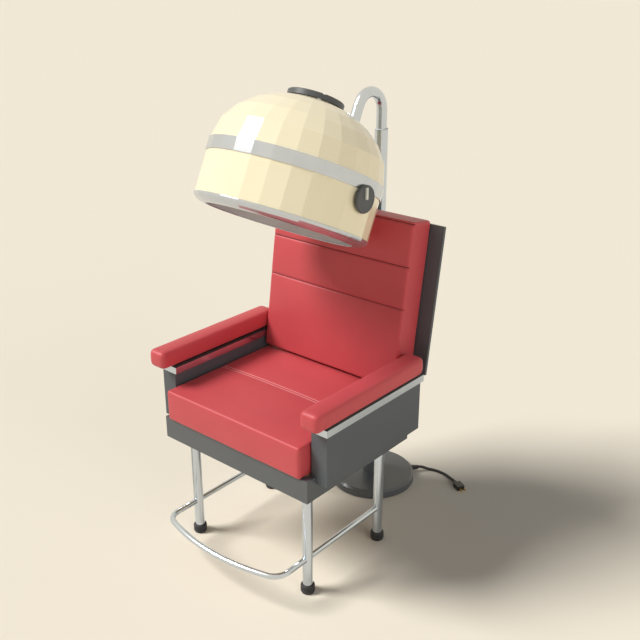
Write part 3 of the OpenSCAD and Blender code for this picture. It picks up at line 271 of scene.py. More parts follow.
def finish(name, tint, drift, rough, metal=0.0, cloud=60, grain=1.0, depth=0.02, **more):
    """tint and drift are colours, rough is the least and most roughness, cloud and grain are
    sizes in mm, and depth is the grain's height in mm. stretch makes the grain run one way."""
    made = bpy.data.materials.new(name)
    made.use_nodes = True
    tree = made.node_tree
    shader = tree.nodes["Principled BSDF"]
    place = node(tree, "ShaderNodeTexCoord").outputs["Object"]
    if "stretch" in more:
        run = node(tree, "ShaderNodeMapping", {"Vector": place, "Scale": more["stretch"]})
        fine_place = run.outputs["Vector"]
    else:
        fine_place = place
    clouds = node(tree, "ShaderNodeTexNoise", {"Vector": place, "Scale": 1000 / cloud, "Detail": 3})
    fine = node(
        tree, "ShaderNodeTexNoise", {"Vector": fine_place, "Scale": 1000 / grain, "Detail": 4})
    colour = node(tree, "ShaderNodeMix", {
        0: clouds.outputs["Fac"], 6: linear(tint), 7: linear(drift),
    }, data_type="RGBA")
    gloss = node(tree, "ShaderNodeMapRange", {
        "Value": fine.outputs["Fac"], "From Min": 0.3, "From Max": 0.7,
        "To Min": rough[0], "To Max": rough[1],
    })
    height = node(tree, "ShaderNodeBump", {
        "Height": fine.outputs["Fac"], "Distance": depth * MM, "Strength": 1.0,
    })
    tree.links.new(colour.outputs[2], shader.inputs["Base Color"])
    tree.links.new(gloss.outputs["Result"], shader.inputs["Roughness"])
    tree.links.new(height.outputs["Normal"], shader.inputs["Normal"])
    shader.inputs["Metallic"].default_value = metal
    if metal == 0:
        shader.inputs["IOR"].default_value = more.get("ior", 1.5)
    shader.inputs["Coat Weight"].default_value = more.get("coat", 0.0)
    shader.inputs["Coat Roughness"].default_value = more.get("coat_rough", 0.1)
    shader.inputs["Sheen Weight"].default_value = more.get("sheen", 0.0)
    return made


def pressed_grain(made, cell, depth):
    """Adds the creased cells of an embossed vinyl, cell mm across and depth mm deep."""
    tree = made.node_tree
    shader = tree.nodes["Principled BSDF"]
    place = node(tree, "ShaderNodeTexCoord").outputs["Object"]
    sway = node(tree, "ShaderNodeTexNoise", {"Vector": place, "Scale": 1000 / (3 * cell)})
    bent = node(tree, "ShaderNodeVectorMath", {
        0: sway.outputs["Color"], 1: (cell * MM, cell * MM, cell * MM), 2: place,
    }, operation="MULTIPLY_ADD")
    cells = node(tree, "ShaderNodeTexVoronoi", {
        "Vector": bent.outputs["Vector"], "Scale": 1000 / cell,
    }, feature="DISTANCE_TO_EDGE")
    crease = node(tree, "ShaderNodeMapRange", {
        "Value": cells.outputs["Distance"], "From Max": 0.12, "To Min": 0, "To Max": 1,
    }, interpolation_type="SMOOTHSTEP")
    before = shader.inputs["Normal"].links[0].from_socket
    both = node(tree, "ShaderNodeBump", {
        "Height": crease.outputs["Result"], "Distance": depth * MM, "Normal": before,
    })
    tree.links.new(both.outputs["Normal"], shader.inputs["Normal"])


print("recipe ready")

# %% The finishes of this chair
for plain in list(bpy.data.materials):
    bpy.data.materials.remove(plain)
# Soft upholstery vinyl: embossed like leather, with a low even sheen
red_vinyl = finish(
    "red_vinyl", "#c5484d", "#bd4147", (0.42, 0.52), cloud=90, grain=0.35, depth=0.02, sheen=0.06)
pressed_grain(red_vinyl, 1.3, 0.06)
# The seams' thread, a lighter twisted polyester
seam_thread = finish("seam_thread", "#f2b9b8", "#eaaaa9", (0.6, 0.75), cloud=20, grain=0.3)
# The thread that pulls the back's channels down, made near black and thick so that it also lays
# painted shade along the bottom of each groove
channel_thread = finish("channel_thread", "#3c1114", "#320e10", (0.6, 0.75), cloud=20, grain=0.3)
# Matt laminate on the panels and the back board
grey_panel = finish(
    "grey_panel", "#54595d", "#4f5457", (0.5, 0.6), cloud=150, grain=0.5, depth=0.015)
# Satin enamel on steel, with the faint ripple of a sprayed coat
grey_enamel = finish(
    "grey_enamel", "#565a5c", "#505355", (0.34, 0.44), cloud=120, grain=2.2, depth=0.03, coat=0.15)
# Chromium plate: nearly a mirror, with faint wiping marks along the tube
chrome_steel = finish(
    "chrome_steel", "#d3dce6", "#cad4df", (0.16, 0.24), metal=1.0, cloud=40, grain=0.6,
    depth=0.002, stretch=(1, 1, 0.15))
# The belt and the rim are brushed before they are plated, so they are paler
brushed_chrome = finish(
    "brushed_chrome", "#d3d9e0", "#c9d0d8", (0.16, 0.22), metal=0.85, cloud=40, grain=0.6,
    depth=0.003, stretch=(1, 1, 0.15))
# Zinc plate on screws and hidden irons: duller and a little yellow
zinc_steel = finish(
    "zinc_steel", "#b9b8ae", "#a7a59a", (0.3, 0.45), metal=1.0, cloud=6, grain=0.4, depth=0.008)
black_rubber = finish(
    "black_rubber", "#2b2b2c", "#242425", (0.6, 0.75), cloud=25, grain=0.4, depth=0.03, ior=1.52)
black_plastic = finish(
    "black_plastic", "#2c2c2e", "#262628", (0.4, 0.5), cloud=40, grain=0.25, depth=0.012)
charcoal_plastic = finish(
    "charcoal_plastic", "#505354", "#4a4c4e", (0.38, 0.48), cloud=50, grain=0.3, depth=0.012)
# The hood's shells: glossy cream moulding
cream_shell = finish(
    "cream_shell", "#f4e9c8", "#efe3c0", (0.16, 0.24), cloud=110, grain=3.0, depth=0.012,
    coat=0.3, coat_rough=0.06)
# Spun aluminium, pale and partly metallic
bowl_aluminium = finish(
    "bowl_aluminium", "#f0f1f2", "#e8eaec", (0.1, 0.18), metal=0.7, cloud=50, grain=0.5,
    depth=0.004)
motor_paint = finish("motor_paint", "#4a4d50", "#424547", (0.4, 0.5), cloud=30, grain=1.2)
heater_steel = finish(
    "heater_steel", "#8d7a68", "#6f675f", (0.35, 0.5), metal=0.8, cloud=9, grain=0.5)
plug_brass = finish("plug_brass", "#d8b765", "#caa755", (0.2, 0.3), metal=1.0, cloud=8, grain=0.4)
# Near-black board under the arm pads: the inset board is real, and its dark colour is painted shade
# that deepens the gap line between the strip and the pad
dark_board = finish("dark_board", "#2e2c2b", "#262423", (0.6, 0.7), cloud=30, grain=0.8)
# Birch plywood, with its grain along one way
plywood = finish(
    "plywood", "#c9a67a", "#b8925f", (0.55, 0.7), cloud=45, grain=2.0, depth=0.03,
    stretch=(0.08, 1, 1))
# Pale print on the knob's pointer
pointer_paint = finish("pointer_paint", "#d9d8cc", "#d0cfc2", (0.4, 0.5), cloud=12, grain=0.4)
# Nylon of the bush that the neck slides in
pale_nylon = finish("pale_nylon", "#c9cbc8", "#c0c2bf", (0.35, 0.45), cloud=20, grain=0.4)

finishes = {slot_finish.name: slot_finish for slot_finish in (
    red_vinyl, grey_panel, grey_enamel, chrome_steel, zinc_steel, black_rubber, black_plastic,
    charcoal_plastic, cream_shell, bowl_aluminium, motor_paint, heater_steel, plug_brass,
    dark_board, plywood,
)}
for part in frame["record"]["subparts"]:
    carried = nodes[part["node"]]
    carried.data.materials.clear()
    carried.data.materials.append(finishes[part["material_slot"]])
cord_curve.materials.append(black_rubber)
print("finishes:", len(finishes))

# %% [markdown]
# ## Light and floor
# The photograph's light is one soft sun from the front left, halfway up, a weak wide light from
# the right, and some from all round, on a pale floor so wide that no edge of it shows.

# %% Light the chair
SUN_TURN = 46
SUN_HEIGHT = 45
SUN_STRENGTH = 3.62
SUN_SOFTNESS = 24
FILL_TURN = -80
FILL_HEIGHT = 14
FILL_STRENGTH = 1.15
FILL_SOFTNESS = 50
FLOOR_HALF = 30
AMBIENT = 0.17
FLOOR_COLOUR = (0.83, 0.755, 0.62, 1)
FILL_COLOUR = linear("#f1f5ff")
BACKDROP_COLOUR = linear("#f2e8d5")

for name, turn, height, strength, softness in (
    ("soft_sun", SUN_TURN, SUN_HEIGHT, SUN_STRENGTH, SUN_SOFTNESS),
    ("side_fill", FILL_TURN, FILL_HEIGHT, FILL_STRENGTH, FILL_SOFTNESS),
):
    lamp = add(name, bpy.data.lights.new(name, "SUN"))
    lamp.data.energy = strength
    lamp.data.angle = math.radians(softness)
    lamp.visible_glossy = name == "soft_sun"
    lamp.rotation_euler = (math.radians(90 - height), 0, math.radians(-turn))

floor_paint = bpy.data.materials.new("floor_paper")
floor_paint.use_nodes = True
paper = floor_paint.node_tree.nodes["Principled BSDF"]
paper.inputs["Base Color"].default_value = FLOOR_COLOUR
paper.inputs["Roughness"].default_value = 1.0
paper.inputs["Specular IOR Level"].default_value = 0.0
floor = mesh_object("studio_floor", [
    (-FLOOR_HALF, -FLOOR_HALF, 0), (FLOOR_HALF, -FLOOR_HALF, 0),
    (FLOOR_HALF, FLOOR_HALF, 0), (-FLOOR_HALF, FLOOR_HALF, 0),
], [(0, 1, 2, 3)])
floor.data.materials.append(floor_paint)

world = bpy.data.worlds.new("studio_world")
world.use_nodes = True
scene.world = world
sky = world.node_tree
sky.nodes.clear()
rays = node(sky, "ShaderNodeLightPath").outputs
shown = node(sky, "ShaderNodeMath", {
    0: rays["Is Camera Ray"], 1: rays["Is Glossy Ray"]}, operation="ADD", use_clamp=True)
shown = node(sky, "ShaderNodeMath", {
    0: shown.outputs[0], 1: rays["Is Transmission Ray"]}, operation="ADD", use_clamp=True)
fill_light = node(sky, "ShaderNodeBackground", {"Color": FILL_COLOUR, "Strength": AMBIENT})
backdrop = node(sky, "ShaderNodeBackground", {"Color": BACKDROP_COLOUR, "Strength": 1.0})
either = node(sky, "ShaderNodeMixShader", {
    0: shown.outputs[0], 1: fill_light.outputs[0], 2: backdrop.outputs[0]})
node(sky, "ShaderNodeOutputWorld", {"Surface": either.outputs[0]})
scene.view_settings.view_transform = "Standard"
print("sun", SUN_STRENGTH, "ambient", AMBIENT)

# %% [markdown]
# ## Pieces that keep the model's shape
# Bent steel, sawn board and moulded parts keep their measured shape, but no real edge is
# knife-sharp. Each is copied, its triangles are joined back into whole faces, and its edges
# get the small rounding that the way it was made would leave.

# %% Copy and ease the hard pieces
bodies = frame["record"]["behaviour"]["bodies"]
body_of = {name: body for body, names in bodies.items() for name in names}
slot_of = {part["node"]: part["material_slot"] for part in frame["record"]["subparts"]}
WELD = 0.02 * MM
FLAT = 0.6


def copied(name, made_name):
    """A copy of a CAD node with its doubled points welded and its flat faces whole."""
    work = bmesh.new()
    work.from_mesh(nodes[name].data)
    bmesh.ops.remove_doubles(work, verts=work.verts, dist=WELD)
    bmesh.ops.dissolve_limit(
        work, angle_limit=math.radians(FLAT), verts=work.verts, edges=work.edges)
    bmesh.ops.recalc_face_normals(work, faces=work.faces)
    data = bpy.data.meshes.new(made_name)
    work.to_mesh(data)
    work.free()
    return add(made_name, data)


def dress(name, made_name, width, segments=2, angle=25):
    made = copied(name, made_name)
    if width:
        eased(made, width * MM, segments, angle)
    else:
        smooth(made, angle)
    slot = slot_of[name]
    return place_on(made, body_of[name], finishes[slot], slot, name)


HARD = [
    ("seat_frame", "welded_seat_frame", 1.2), ("seat_deck", "plywood_deck", 0.8),
    ("side_panel_left", "arm_panel_left", 1.2), ("side_panel_right", "arm_panel_right", 1.2),
    ("arm_strip_left", "bright_strip_left", 1.2), ("arm_strip_right", "bright_strip_right", 1.2),
    ("pad_board_left", "pad_board_l", 0.5), ("pad_board_right", "pad_board_r", 0.5),
    ("back_board", "laminate_back", 1.0), ("back_wedges", "back_wedge_blocks", 0.8),
    ("tie_bracket", "welded_tie", 0.8), ("column_bush", "column_top_bush", 0.4),
    ("slide_bush", "neck_slide_bush", 0.3), ("base_pad", "base_felt_pad", 0.4),
    ("backing_plate", "hood_backing_plate", 0.4), ("hood_bracket", "hood_hinge_bracket", 0.5),
    ("neck_fork", "neck_hinge_fork", 0.5), ("vent_seat", "vent_bearing", 0.5),
    ("vent_cap", "turning_vent_cap", 0.7), ("stand_base", "pressed_stand_base", 1.0),
    ("tilt_pin", "hinge_pin", 0.4), ("timer", "timer_case", 0.5),
]
for name, made_name, width in HARD:
    dress(name, made_name, width)
# The bush at the column's top reads pale in the photograph
scene.objects["column_top_bush"].data.materials[0] = pale_nylon
SMOOTH = [
    ("column", "chrome_column"), ("neck_tube", "bent_neck_tube"), ("foot_rail", "bent_foot_rail"),
    ("side_rail_left", "side_rail_l"), ("side_rail_right", "side_rail_r"),
    ("leg_front_left", "chrome_leg_fl"), ("leg_front_right", "chrome_leg_fr"),
    ("leg_rear_left", "chrome_leg_rl"), ("leg_rear_right", "chrome_leg_rr"),
    ("inner_bowl", "spun_inner_bowl"), ("motor", "fan_motor"),
]
for name, made_name in SMOOTH:
    dress(name, made_name, 0)
print("hard pieces:", len(HARD), "smooth pieces:", len(SMOOTH))

# %% [markdown]
# ## The hood's shells
# The shells are broad flat facets, 28 round the hood and five rows up the dome, so a rule
# makes them better than a hand: a grid is wrapped round the axis, each row a little shorter
# than the last. The same rule, with one plumb row, makes the skirt and the belt.

# %% A rule for revolved facets


def new_tree(title, sockets):
    """A geometry tree with named inputs, given as name, kind of socket and value."""
    tree = bpy.data.node_groups.new(title, "GeometryNodeTree")
    sides = tree.interface
    sides.new_socket("Geometry", in_out="INPUT", socket_type="NodeSocketGeometry")
    sides.new_socket("Geometry", in_out="OUTPUT", socket_type="NodeSocketGeometry")
    for name, kind, value in sockets:
        made = sides.new_socket(name, in_out="INPUT", socket_type="NodeSocket" + kind)
        if value is not None:
            made.default_value = value
    return tree, node(tree, "NodeGroupInput").outputs, node(tree, "NodeGroupOutput").inputs


def run_tree(piece, tree, values):
    """Sets the tree's inputs on a piece, lets it build, and keeps the plain mesh."""
    modifier = piece.modifiers.new(tree.name, "NODES")
    modifier.node_group = tree
    for item in tree.interface.items_tree:
        if item.in_out == "INPUT" and item.name in values:
            modifier[item.identifier] = values[item.name]
    piece.update_tag()
    return fixed(piece)


def maths(tree, operation, *values):
    return node(tree, "ShaderNodeMath", dict(enumerate(values)), operation=operation).outputs[0]


facets, given, result = new_tree("Revolved facets", [
    ("Sides", "Int", 28), ("Rows", "Int", 5), ("Radius", "Float", 0.2), ("Foot", "Float", 0.0),
    ("Plumb", "Float", 0.0), ("Rise", "Float", 0.1), ("Top Turn", "Float", 1.3),
    ("Row Ease", "Float", 0.84), ("Finish", "Material", None),
])
grid = node(facets, "GeometryNodeMeshGrid", {
    "Size X": 1, "Size Y": 1,
    "Vertices X": maths(facets, "ADD", given["Sides"], 1),
    "Vertices Y": maths(facets, "ADD", given["Rows"], 1),
})
spot = node(facets, "ShaderNodeSeparateXYZ", {
    0: node(facets, "GeometryNodeInputPosition").outputs[0]}).outputs
turn = maths(facets, "MULTIPLY", maths(facets, "ADD", spot["X"], 0.5), math.tau)
row = maths(facets, "MULTIPLY", maths(facets, "ADD", spot["Y"], 0.5), given["Rows"])
above = maths(facets, "MAXIMUM", maths(facets, "SUBTRACT", row, 1), 0)
share = maths(facets, "DIVIDE", above, maths(facets, "SUBTRACT", given["Rows"], 1))
tilt = maths(
    facets, "MULTIPLY", maths(facets, "POWER", share, given["Row Ease"]), given["Top Turn"])
out = maths(facets, "MULTIPLY", given["Radius"], maths(facets, "COSINE", tilt))
up = maths(facets, "MULTIPLY_ADD", maths(facets, "SINE", tilt), given["Rise"], given["Foot"])
below = maths(facets, "SUBTRACT", 1, maths(facets, "MINIMUM", row, 1))
up = maths(facets, "SUBTRACT", up, maths(facets, "MULTIPLY", below, given["Plumb"]))
wrapped = node(facets, "GeometryNodeSetPosition", {
    "Geometry": grid.outputs["Mesh"],
    "Position": node(facets, "ShaderNodeCombineXYZ", {
        "X": maths(facets, "MULTIPLY", out, maths(facets, "COSINE", turn)),
        "Y": maths(facets, "MULTIPLY", out, maths(facets, "SINE", turn)), "Z": up,
    }).outputs[0],
})
closed = node(facets, "GeometryNodeMergeByDistance", {
    "Geometry": wrapped.outputs[0], "Distance": 0.0001})
whole = node(facets, "GeometryNodeRealizeInstances", {0: closed.outputs[0]})
node_out = node(facets, "GeometryNodeSetMaterial", {
    "Geometry": whole.outputs[0], "Material": given["Finish"]})
facets.links.new(node_out.outputs[0], result[0])


def faceted_shell(name, wall, edge, place, values):
    """Runs the rule, gives the sheet its thickness inwards, and eases the facets' edges."""
    made = run_tree(mesh_object(name, [(0, 0, 0)], []), facets, values)
    outward(made)
    thick = made.modifiers.new("wall", "SOLIDIFY")
    thick.thickness = wall
    thick.offset = -1
    thick.use_even_offset = True
    fixed(made)
    made.data.transform(place)
    return eased(made, edge, 2, 3)


print("rule:", facets.name)

# %% Shape the dome, the skirt and the belt
SHELL_WALL = 0.004
BELT_R = 0.2315
VENT_R = 0.058
dome = faceted_shell("cream_dome", SHELL_WALL, 0.0011, hood_frame, {
    "Sides": FACETS, "Rows": 6, "Radius": HOOD_R, "Foot": BELT_HALF, "Plumb": BELT_HALF,
    "Rise": DOME_RISE, "Top Turn": math.acos(VENT_R / HOOD_R), "Finish": cream_shell,
})
place_on(dome, "hood", cream_shell, "cream_shell", "upper_shell")
skirt = faceted_shell("cream_skirt", SHELL_WALL, 0.0011, hood_frame, {
    "Sides": FACETS, "Rows": 1, "Radius": HOOD_R, "Foot": 0.0, "Plumb": SKIRT,
    "Rise": 0.0, "Finish": cream_shell,
})
place_on(skirt, "hood", cream_shell, "cream_shell", "lower_shell")
belt = faceted_shell("chrome_belt", 0.0022, 0.0008, hood_frame, {
    "Sides": FACETS, "Rows": 1, "Radius": BELT_R, "Foot": BELT_HALF, "Plumb": 2 * BELT_HALF,
    "Rise": 0.0, "Finish": brushed_chrome,
})
place_on(belt, "hood", brushed_chrome, "chrome_steel", "belt")
print("dome faces:", len(dome.data.polygons))

# %% [markdown]
# ## Turned and pressed rings
# A ring, a knob or a ferrule is one outline carried round an axis, as on a lathe. The rim is
# rolled from the same 28-sided strip as the belt, so it has flats too.

# %% Rim, knob, ferrules and weld beads


def lathe(name, outline, sides, ring=True):
    """Carries an outline of (radius, height) round the Z axis."""
    rows = len(outline)
    verts = [
        (r * math.cos(math.tau * k / sides), r * math.sin(math.tau * k / sides), z)
        for k in range(sides) for r, z in outline
    ]
    faces = [
        (a * rows + j, (a + 1) % sides * rows + j,
         (a + 1) % sides * rows + (j + 1) % rows, a * rows + (j + 1) % rows)
        for a in range(sides) for j in range(rows if ring else rows - 1)
    ]
    made = mesh_object(name, verts, faces)
    work = bmesh.new()
    work.from_mesh(made.data)
    bmesh.ops.remove_doubles(work, verts=work.verts, dist=WELD)
    bmesh.ops.recalc_face_normals(work, faces=work.faces)
    work.to_mesh(made.data)
    work.free()
    return made


def joined(name, pieces):
    """Makes one mesh of several, in their places."""
    work = bmesh.new()
    for piece in pieces:
        work.from_mesh(piece.data)
    data = bpy.data.meshes.new(name)
    work.to_mesh(data)
    work.free()
    for piece in pieces:
        old = piece.data
        bpy.data.objects.remove(piece)
        bpy.data.meshes.remove(old)
    return add(name, data)


RIM_OUTLINE = [
    (230.5, -124.1), (230.5, -128), (228.5, -132.5), (222, -137.5), (211, -142.5), (201, -145),
    (195, -145), (195, -142), (201, -142),
    (222, -124), (222, -115), (224.9, -115), (224.9, -124.1),
]
rim = lathe("rolled_rim", [(r * MM, z * MM) for r, z in RIM_OUTLINE], FACETS)
rim.data.transform(hood_frame)
eased(rim, 0.0007, 2, 5)
place_on(rim, "hood", brushed_chrome, "chrome_steel", "rim")

KNOB_R = 0.0345
KNOB_T = 0.008
RIB_COUNT = 60
POINTER_LEN = 0.029
POINTER_HALF = 0.004
POINTER_RISE = 0.004
ROUND = 96


def ring_tree():
    """A rule that sets copies of a small piece in a ring, each turned to face outwards."""
    tree, given, result = new_tree("Ring of copies", [
        ("Count", "Int", 12), ("Radius", "Float", 0.01), ("Height", "Float", 0.0),
        ("Piece", "Object", None), ("Finish", "Material", None),
    ])
    circle = node(tree, "GeometryNodeMeshCircle", {
        "Vertices": given["Count"], "Radius": given["Radius"]})
    raised = node(tree, "GeometryNodeTransform", {
        "Geometry": circle.outputs[0],
        "Translation": node(tree, "ShaderNodeCombineXYZ", {"Z": given["Height"]}).outputs[0],
    })
    index = node(tree, "GeometryNodeInputIndex").outputs[0]
    turn = maths(tree, "DIVIDE", maths(tree, "MULTIPLY", index, math.tau), given["Count"])
    shape = node(tree, "GeometryNodeObjectInfo", {"Object": given["Piece"]})
    copies = node(tree, "GeometryNodeInstanceOnPoints", {
        "Points": raised.outputs[0], "Instance": shape.outputs["Geometry"],
        "Rotation": node(tree, "ShaderNodeCombineXYZ", {"Z": turn}).outputs[0],
    })
    whole = node(tree, "GeometryNodeRealizeInstances", {0: copies.outputs[0]})
    dressed = node(tree, "GeometryNodeSetMaterial", {
        "Geometry": whole.outputs[0], "Material": given["Finish"]})
    tree.links.new(dressed.outputs[0], result[0])
    return tree


ring_of_copies = ring_tree()


def block(name, low, high):
    """A box between two corners."""
    work = bmesh.new()
    bmesh.ops.create_cube(work, size=1)
    for vert in work.verts:
        vert.co = [lo + (c + 0.5) * (hi - lo) for c, lo, hi in zip(vert.co, low, high)]
    data = bpy.data.meshes.new(name)
    work.to_mesh(data)
    work.free()
    return add(name, data)


def ring_of(piece, name, count, radius, height, made_of):
    made = run_tree(mesh_object(name, [(0, 0, 0)], []), ring_of_copies, {
        "Count": count, "Radius": radius, "Height": height, "Piece": piece, "Finish": made_of,
    })
    bpy.data.objects.remove(piece)
    return made


knob = lathe("knob_disc", [
    (0, 0), (KNOB_R, 0), (KNOB_R, KNOB_T - 0.002), (KNOB_R - 0.0006, KNOB_T - 0.0006),
    (KNOB_R - 0.002, KNOB_T), (KNOB_R - 0.006, KNOB_T), (KNOB_R - 0.007, KNOB_T - 0.0005),
    (0, KNOB_T - 0.0005),
], ROUND, ring=False)
eased(knob, 0.0004, 2, 20)
rib = eased(block("knob_rib", (-0.0009, -0.0006, 0), (0.0003, 0.0006, KNOB_T - 0.0028)), 0.0003)
ribs = ring_of(rib, "knob_ribs", RIB_COUNT, KNOB_R - 0.0001, 0.0007, charcoal_plastic)
spindle = lathe("knob_spindle", [(0, -0.030), (0.004, -0.030), (0.004, 0.001), (0, 0.001)], 32,
                ring=False)
knob = joined("control_knob_turned", [knob, ribs, spindle])
knob.data.transform(knob_frame @ Matrix.Translation((0, 0, KNOB_IN)))
smooth(knob, 35)
place_on(knob, "knob", charcoal_plastic, "charcoal_plastic", "control_knob")
pointer = block(
    "knob_pointer", (-POINTER_LEN, -POINTER_HALF, KNOB_T - 0.001),
    (0, POINTER_HALF, KNOB_T + POINTER_RISE))
pointer.data.transform(
    knob_frame @ Matrix.Translation((0, 0, KNOB_IN))
    @ Matrix.Rotation(math.radians(HOOD_LEAN), 4, "Z"))
eased(pointer, 0.0009, 3)
place_on(pointer, "knob", pointer_paint, "charcoal_plastic")

FOOT_OUTLINE = [
    (0, 0), (16, 0), (17.2, 0.6), (17.8, 2), (19.3, 5.2), (19.5, 7), (18.6, 8), (18.6, 9.4),
    (19.5, 10.4), (19.5, 12.6), (18.6, 13.6), (18.6, 15), (19.5, 16), (19.5, 21), (18.9, 23.6),
    (17.2, 25.4), (15.4, 26), (14.2, 26), (14.2, 22), (0, 22),
]
LEG_X = 0.2125
LEG_Y = {"front": -0.2724, "rear": 0.0376}
for end, y in LEG_Y.items():
    for side, x in (("left", -LEG_X), ("right", LEG_X)):
        foot = lathe(f"ferrule_{end}_{side}", [(r * MM, z * MM) for r, z in FOOT_OUTLINE], ROUND,
                     ring=False)
        foot.data.transform(Matrix.Translation((x, y, 0)))
        smooth(foot, 40)
        place_on(foot, "chair", black_rubber, "black_rubber", f"foot_{end}_{side}")

LEG_R = 0.014
RAIL_R = 0.008
RAIL_Z = 0.108
beads = []


def bead(radius, thick, place):
    """A ring of weld, a little uneven as a hand leaves it."""
    outline = [(radius + thick * math.cos(a), thick * math.sin(a))
               for a in (math.tau * k / 8 for k in range(8))]
    made = lathe("bead", outline, 48)
    for vert in made.data.vertices:
        wobble = noise.noise(Vector(vert.co) * 900)
        vert.co *= 1 + 0.03 * wobble
    made.data.transform(place)
    beads.append(made)


for x in (-LEG_X, LEG_X):
    for y, side in ((LEG_Y["front"], 1), (LEG_Y["rear"], -1), (LEG_Y["front"], -1)):
        bead(RAIL_R, 0.0011, Matrix.Translation((x, y + side * (LEG_R - 0.0022), RAIL_Z))
             @ Matrix.Rotation(math.radians(90), 4, "X"))
welds = joined("weld_beads", beads)
smooth(welds, 60)
place_on(welds, "chair", chrome_steel, "chrome_steel")
print("rim, knob, ferrules and", len(welds.data.polygons), "faces of weld")

# %% [markdown]
# ## Plug, blades and relief
# The plug is one moulding, and its edges are eased. The relief is ringed so that it bends with the
# cord.

# %% Finish the cord's ends
RELIEF_Z = 0.01503
RELIEF_R = 0.0072
RELIEF_TAPER = 0.0018
RING_COUNT = 4
RING_START = 0.004
RING_PITCH = 0.0045
plug = dress("plug_body", "moulded_plug", 1.2, 3)
blades = dress("plug_blades", "brass_blades", 0.4)
dress("cord_relief", "tapered_relief", 0.3)
place_on(cord, "chair", None, "black_rubber", "cord")
relief_axis = Matrix.Translation(BASE_MIDDLE + Vector((0, 0, RELIEF_Z))) @ Matrix.Rotation(
    math.radians(OUTLET_TURN), 4, "Z") @ Matrix.Rotation(math.radians(90), 4, "Y")
rings = []
for k in range(RING_COUNT):
    along = RING_START + RING_PITCH * k
    radius = RELIEF_R - RELIEF_TAPER * along / RELIEF_LEN
    made = lathe("relief_ring", [
        (radius + 0.0009 * math.cos(a), BASE_R + along + 0.0011 * math.sin(a))
        for a in (math.tau * j / 8 for j in range(8))
    ], 48)
    made.data.transform(relief_axis)
    rings.append(made)
relief_rings = smooth(joined("relief_rings", rings), 60)
place_on(relief_rings, "chair", black_rubber, "black_rubber")
print("cord's end:", [round(v, 3) for v in cord_points[-1]])

# %% [markdown]
# ## Upholstery
# A cushion is a sewn cover over foam: the foam pushes the cover out, and the seams hold it.
# So each starts as a boxed cover a little smaller than its measured solid, in an even net of
# points. Cloth under a light inner pressure then swells its panels, while the boxed edges, the
# underside and the sewn lines hold. The sewn lines are drawn in after that.

# %% Let pressure fill the covers
SHRINK = 0.001
NET = 0.005
PRESSURE = 4.0
FRAMES = 20
EDGE = 0.0034


def points_of(piece):
    spots = np.empty(len(piece.data.vertices) * 3)
    piece.data.vertices.foreach_get("co", spots)
    return spots.reshape(-1, 3)


def set_points(piece, spots):
    piece.data.vertices.foreach_set("co", spots.ravel())
    piece.data.update()


def normals_of(piece):
    ways = np.empty(len(piece.data.vertices) * 3)
    piece.data.vertex_normals.foreach_get("vector", ways)
    return ways.reshape(-1, 3)


def ramp(values, low, high):
    """0 below low, 1 above high, and a smooth rise between."""
    share = np.clip((values - low) / (high - low), 0, 1)
    return share * share * (3 - 2 * share)


def held_at(spots, low, high, lines):
    """How firmly a boxed cover is held: at its edges, its underside and its sewn lines."""
    gaps = np.concatenate([spots - low, high - spots], axis=1)
    second = np.sort(gaps, axis=1)[:, 1]
    edge = 1 - ramp(second, 0.004, 0.014)
    under = 1 - ramp(gaps[:, 2], 0.004, 0.02)
    top = 1 - ramp(gaps[:, 5], 0.008, 0.02)
    sewn = sum((np.exp(-((spots[:, 1] - v) / 0.006) ** 2) for v in lines), np.zeros(len(spots)))
    return np.clip(np.maximum(np.maximum(edge, under), sewn * top), 0, 1)


def stuffed(name, low, high, lines=(), crown=0.0, slope=0.0, most=0.003, edge=EDGE, net=NET):
    """A boxed cover between two corners, with its face to +z, swollen by at most `most`."""
    low, high = np.array(low), np.array(high)
    made = block(name, low + SHRINK * np.array((1, 1, 0)), high - SHRINK)
    rounding = made.modifiers.new("edges", "BEVEL")
    rounding.width = edge
    rounding.segments = 3
    fixed(made)
    remesh = made.modifiers.new("net", "REMESH")
    remesh.mode = "VOXEL"
    remesh.voxel_size = net
    fixed(made)
    ease = made.modifiers.new("ease", "SMOOTH")
    ease.iterations = 2
    fixed(made)
    spots = points_of(made)
    grips = held_at(spots, low, high, lines)
    share = (spots - (low + high) / 2) / ((high - low) / 2)
    rise = (spots[:, 2] - low[2]) / (high[2] - low[2])
    spots[:, 2] += crown * rise * (1 - share[:, 0] ** 2) * (1 - share[:, 1] ** 2)
    spots[:, 1] += slope * (high[2] - low[2]) * (1 - rise) * (1 - share[:, 1]) / 2
    set_points(made, spots)
    grip = made.vertex_groups.new(name="held")
    for k, firm in enumerate(grips):
        grip.add([k], float(firm), "REPLACE")
    cover = made.modifiers.new("cover", "CLOTH")
    cloth = cover.settings
    cloth.quality = 4
    cloth.mass = 0.35
    cloth.tension_stiffness = 15
    cloth.compression_stiffness = 15
    cloth.shear_stiffness = 8
    cloth.bending_stiffness = 2
    cloth.air_damping = 6
    cloth.use_pressure = True
    cloth.uniform_pressure_force = PRESSURE
    cloth.vertex_group_mass = "held"
    cloth.pin_stiffness = 5
    cloth.effector_weights.gravity = 0
    cover.point_cache.frame_start = 1
    cover.point_cache.frame_end = FRAMES
    for frame_number in range(1, FRAMES + 1):
        scene.frame_set(frame_number)
    fixed(made)
    scene.frame_set(1)
    made.vertex_groups.clear()
    move = points_of(made) - spots
    far = np.linalg.norm(move, axis=1, keepdims=True)
    set_points(made, spots + move * np.minimum(1, most / np.maximum(far, 1e-9)))
    print(name, "swelled by up to", round(float(far.max()) / MM, 1), "mm")
    finer = made.modifiers.new("finer", "SUBSURF")
    finer.levels = finer.render_levels = 1
    fixed(made)
    made.data.shade_smooth()
    return made


def ripple(across, along, seed, size):
    """An even but lively wave, from -1 to 1."""
    return np.array([
        noise.noise(Vector((a / size, b / size, seed))) for a, b in zip(across, along)])


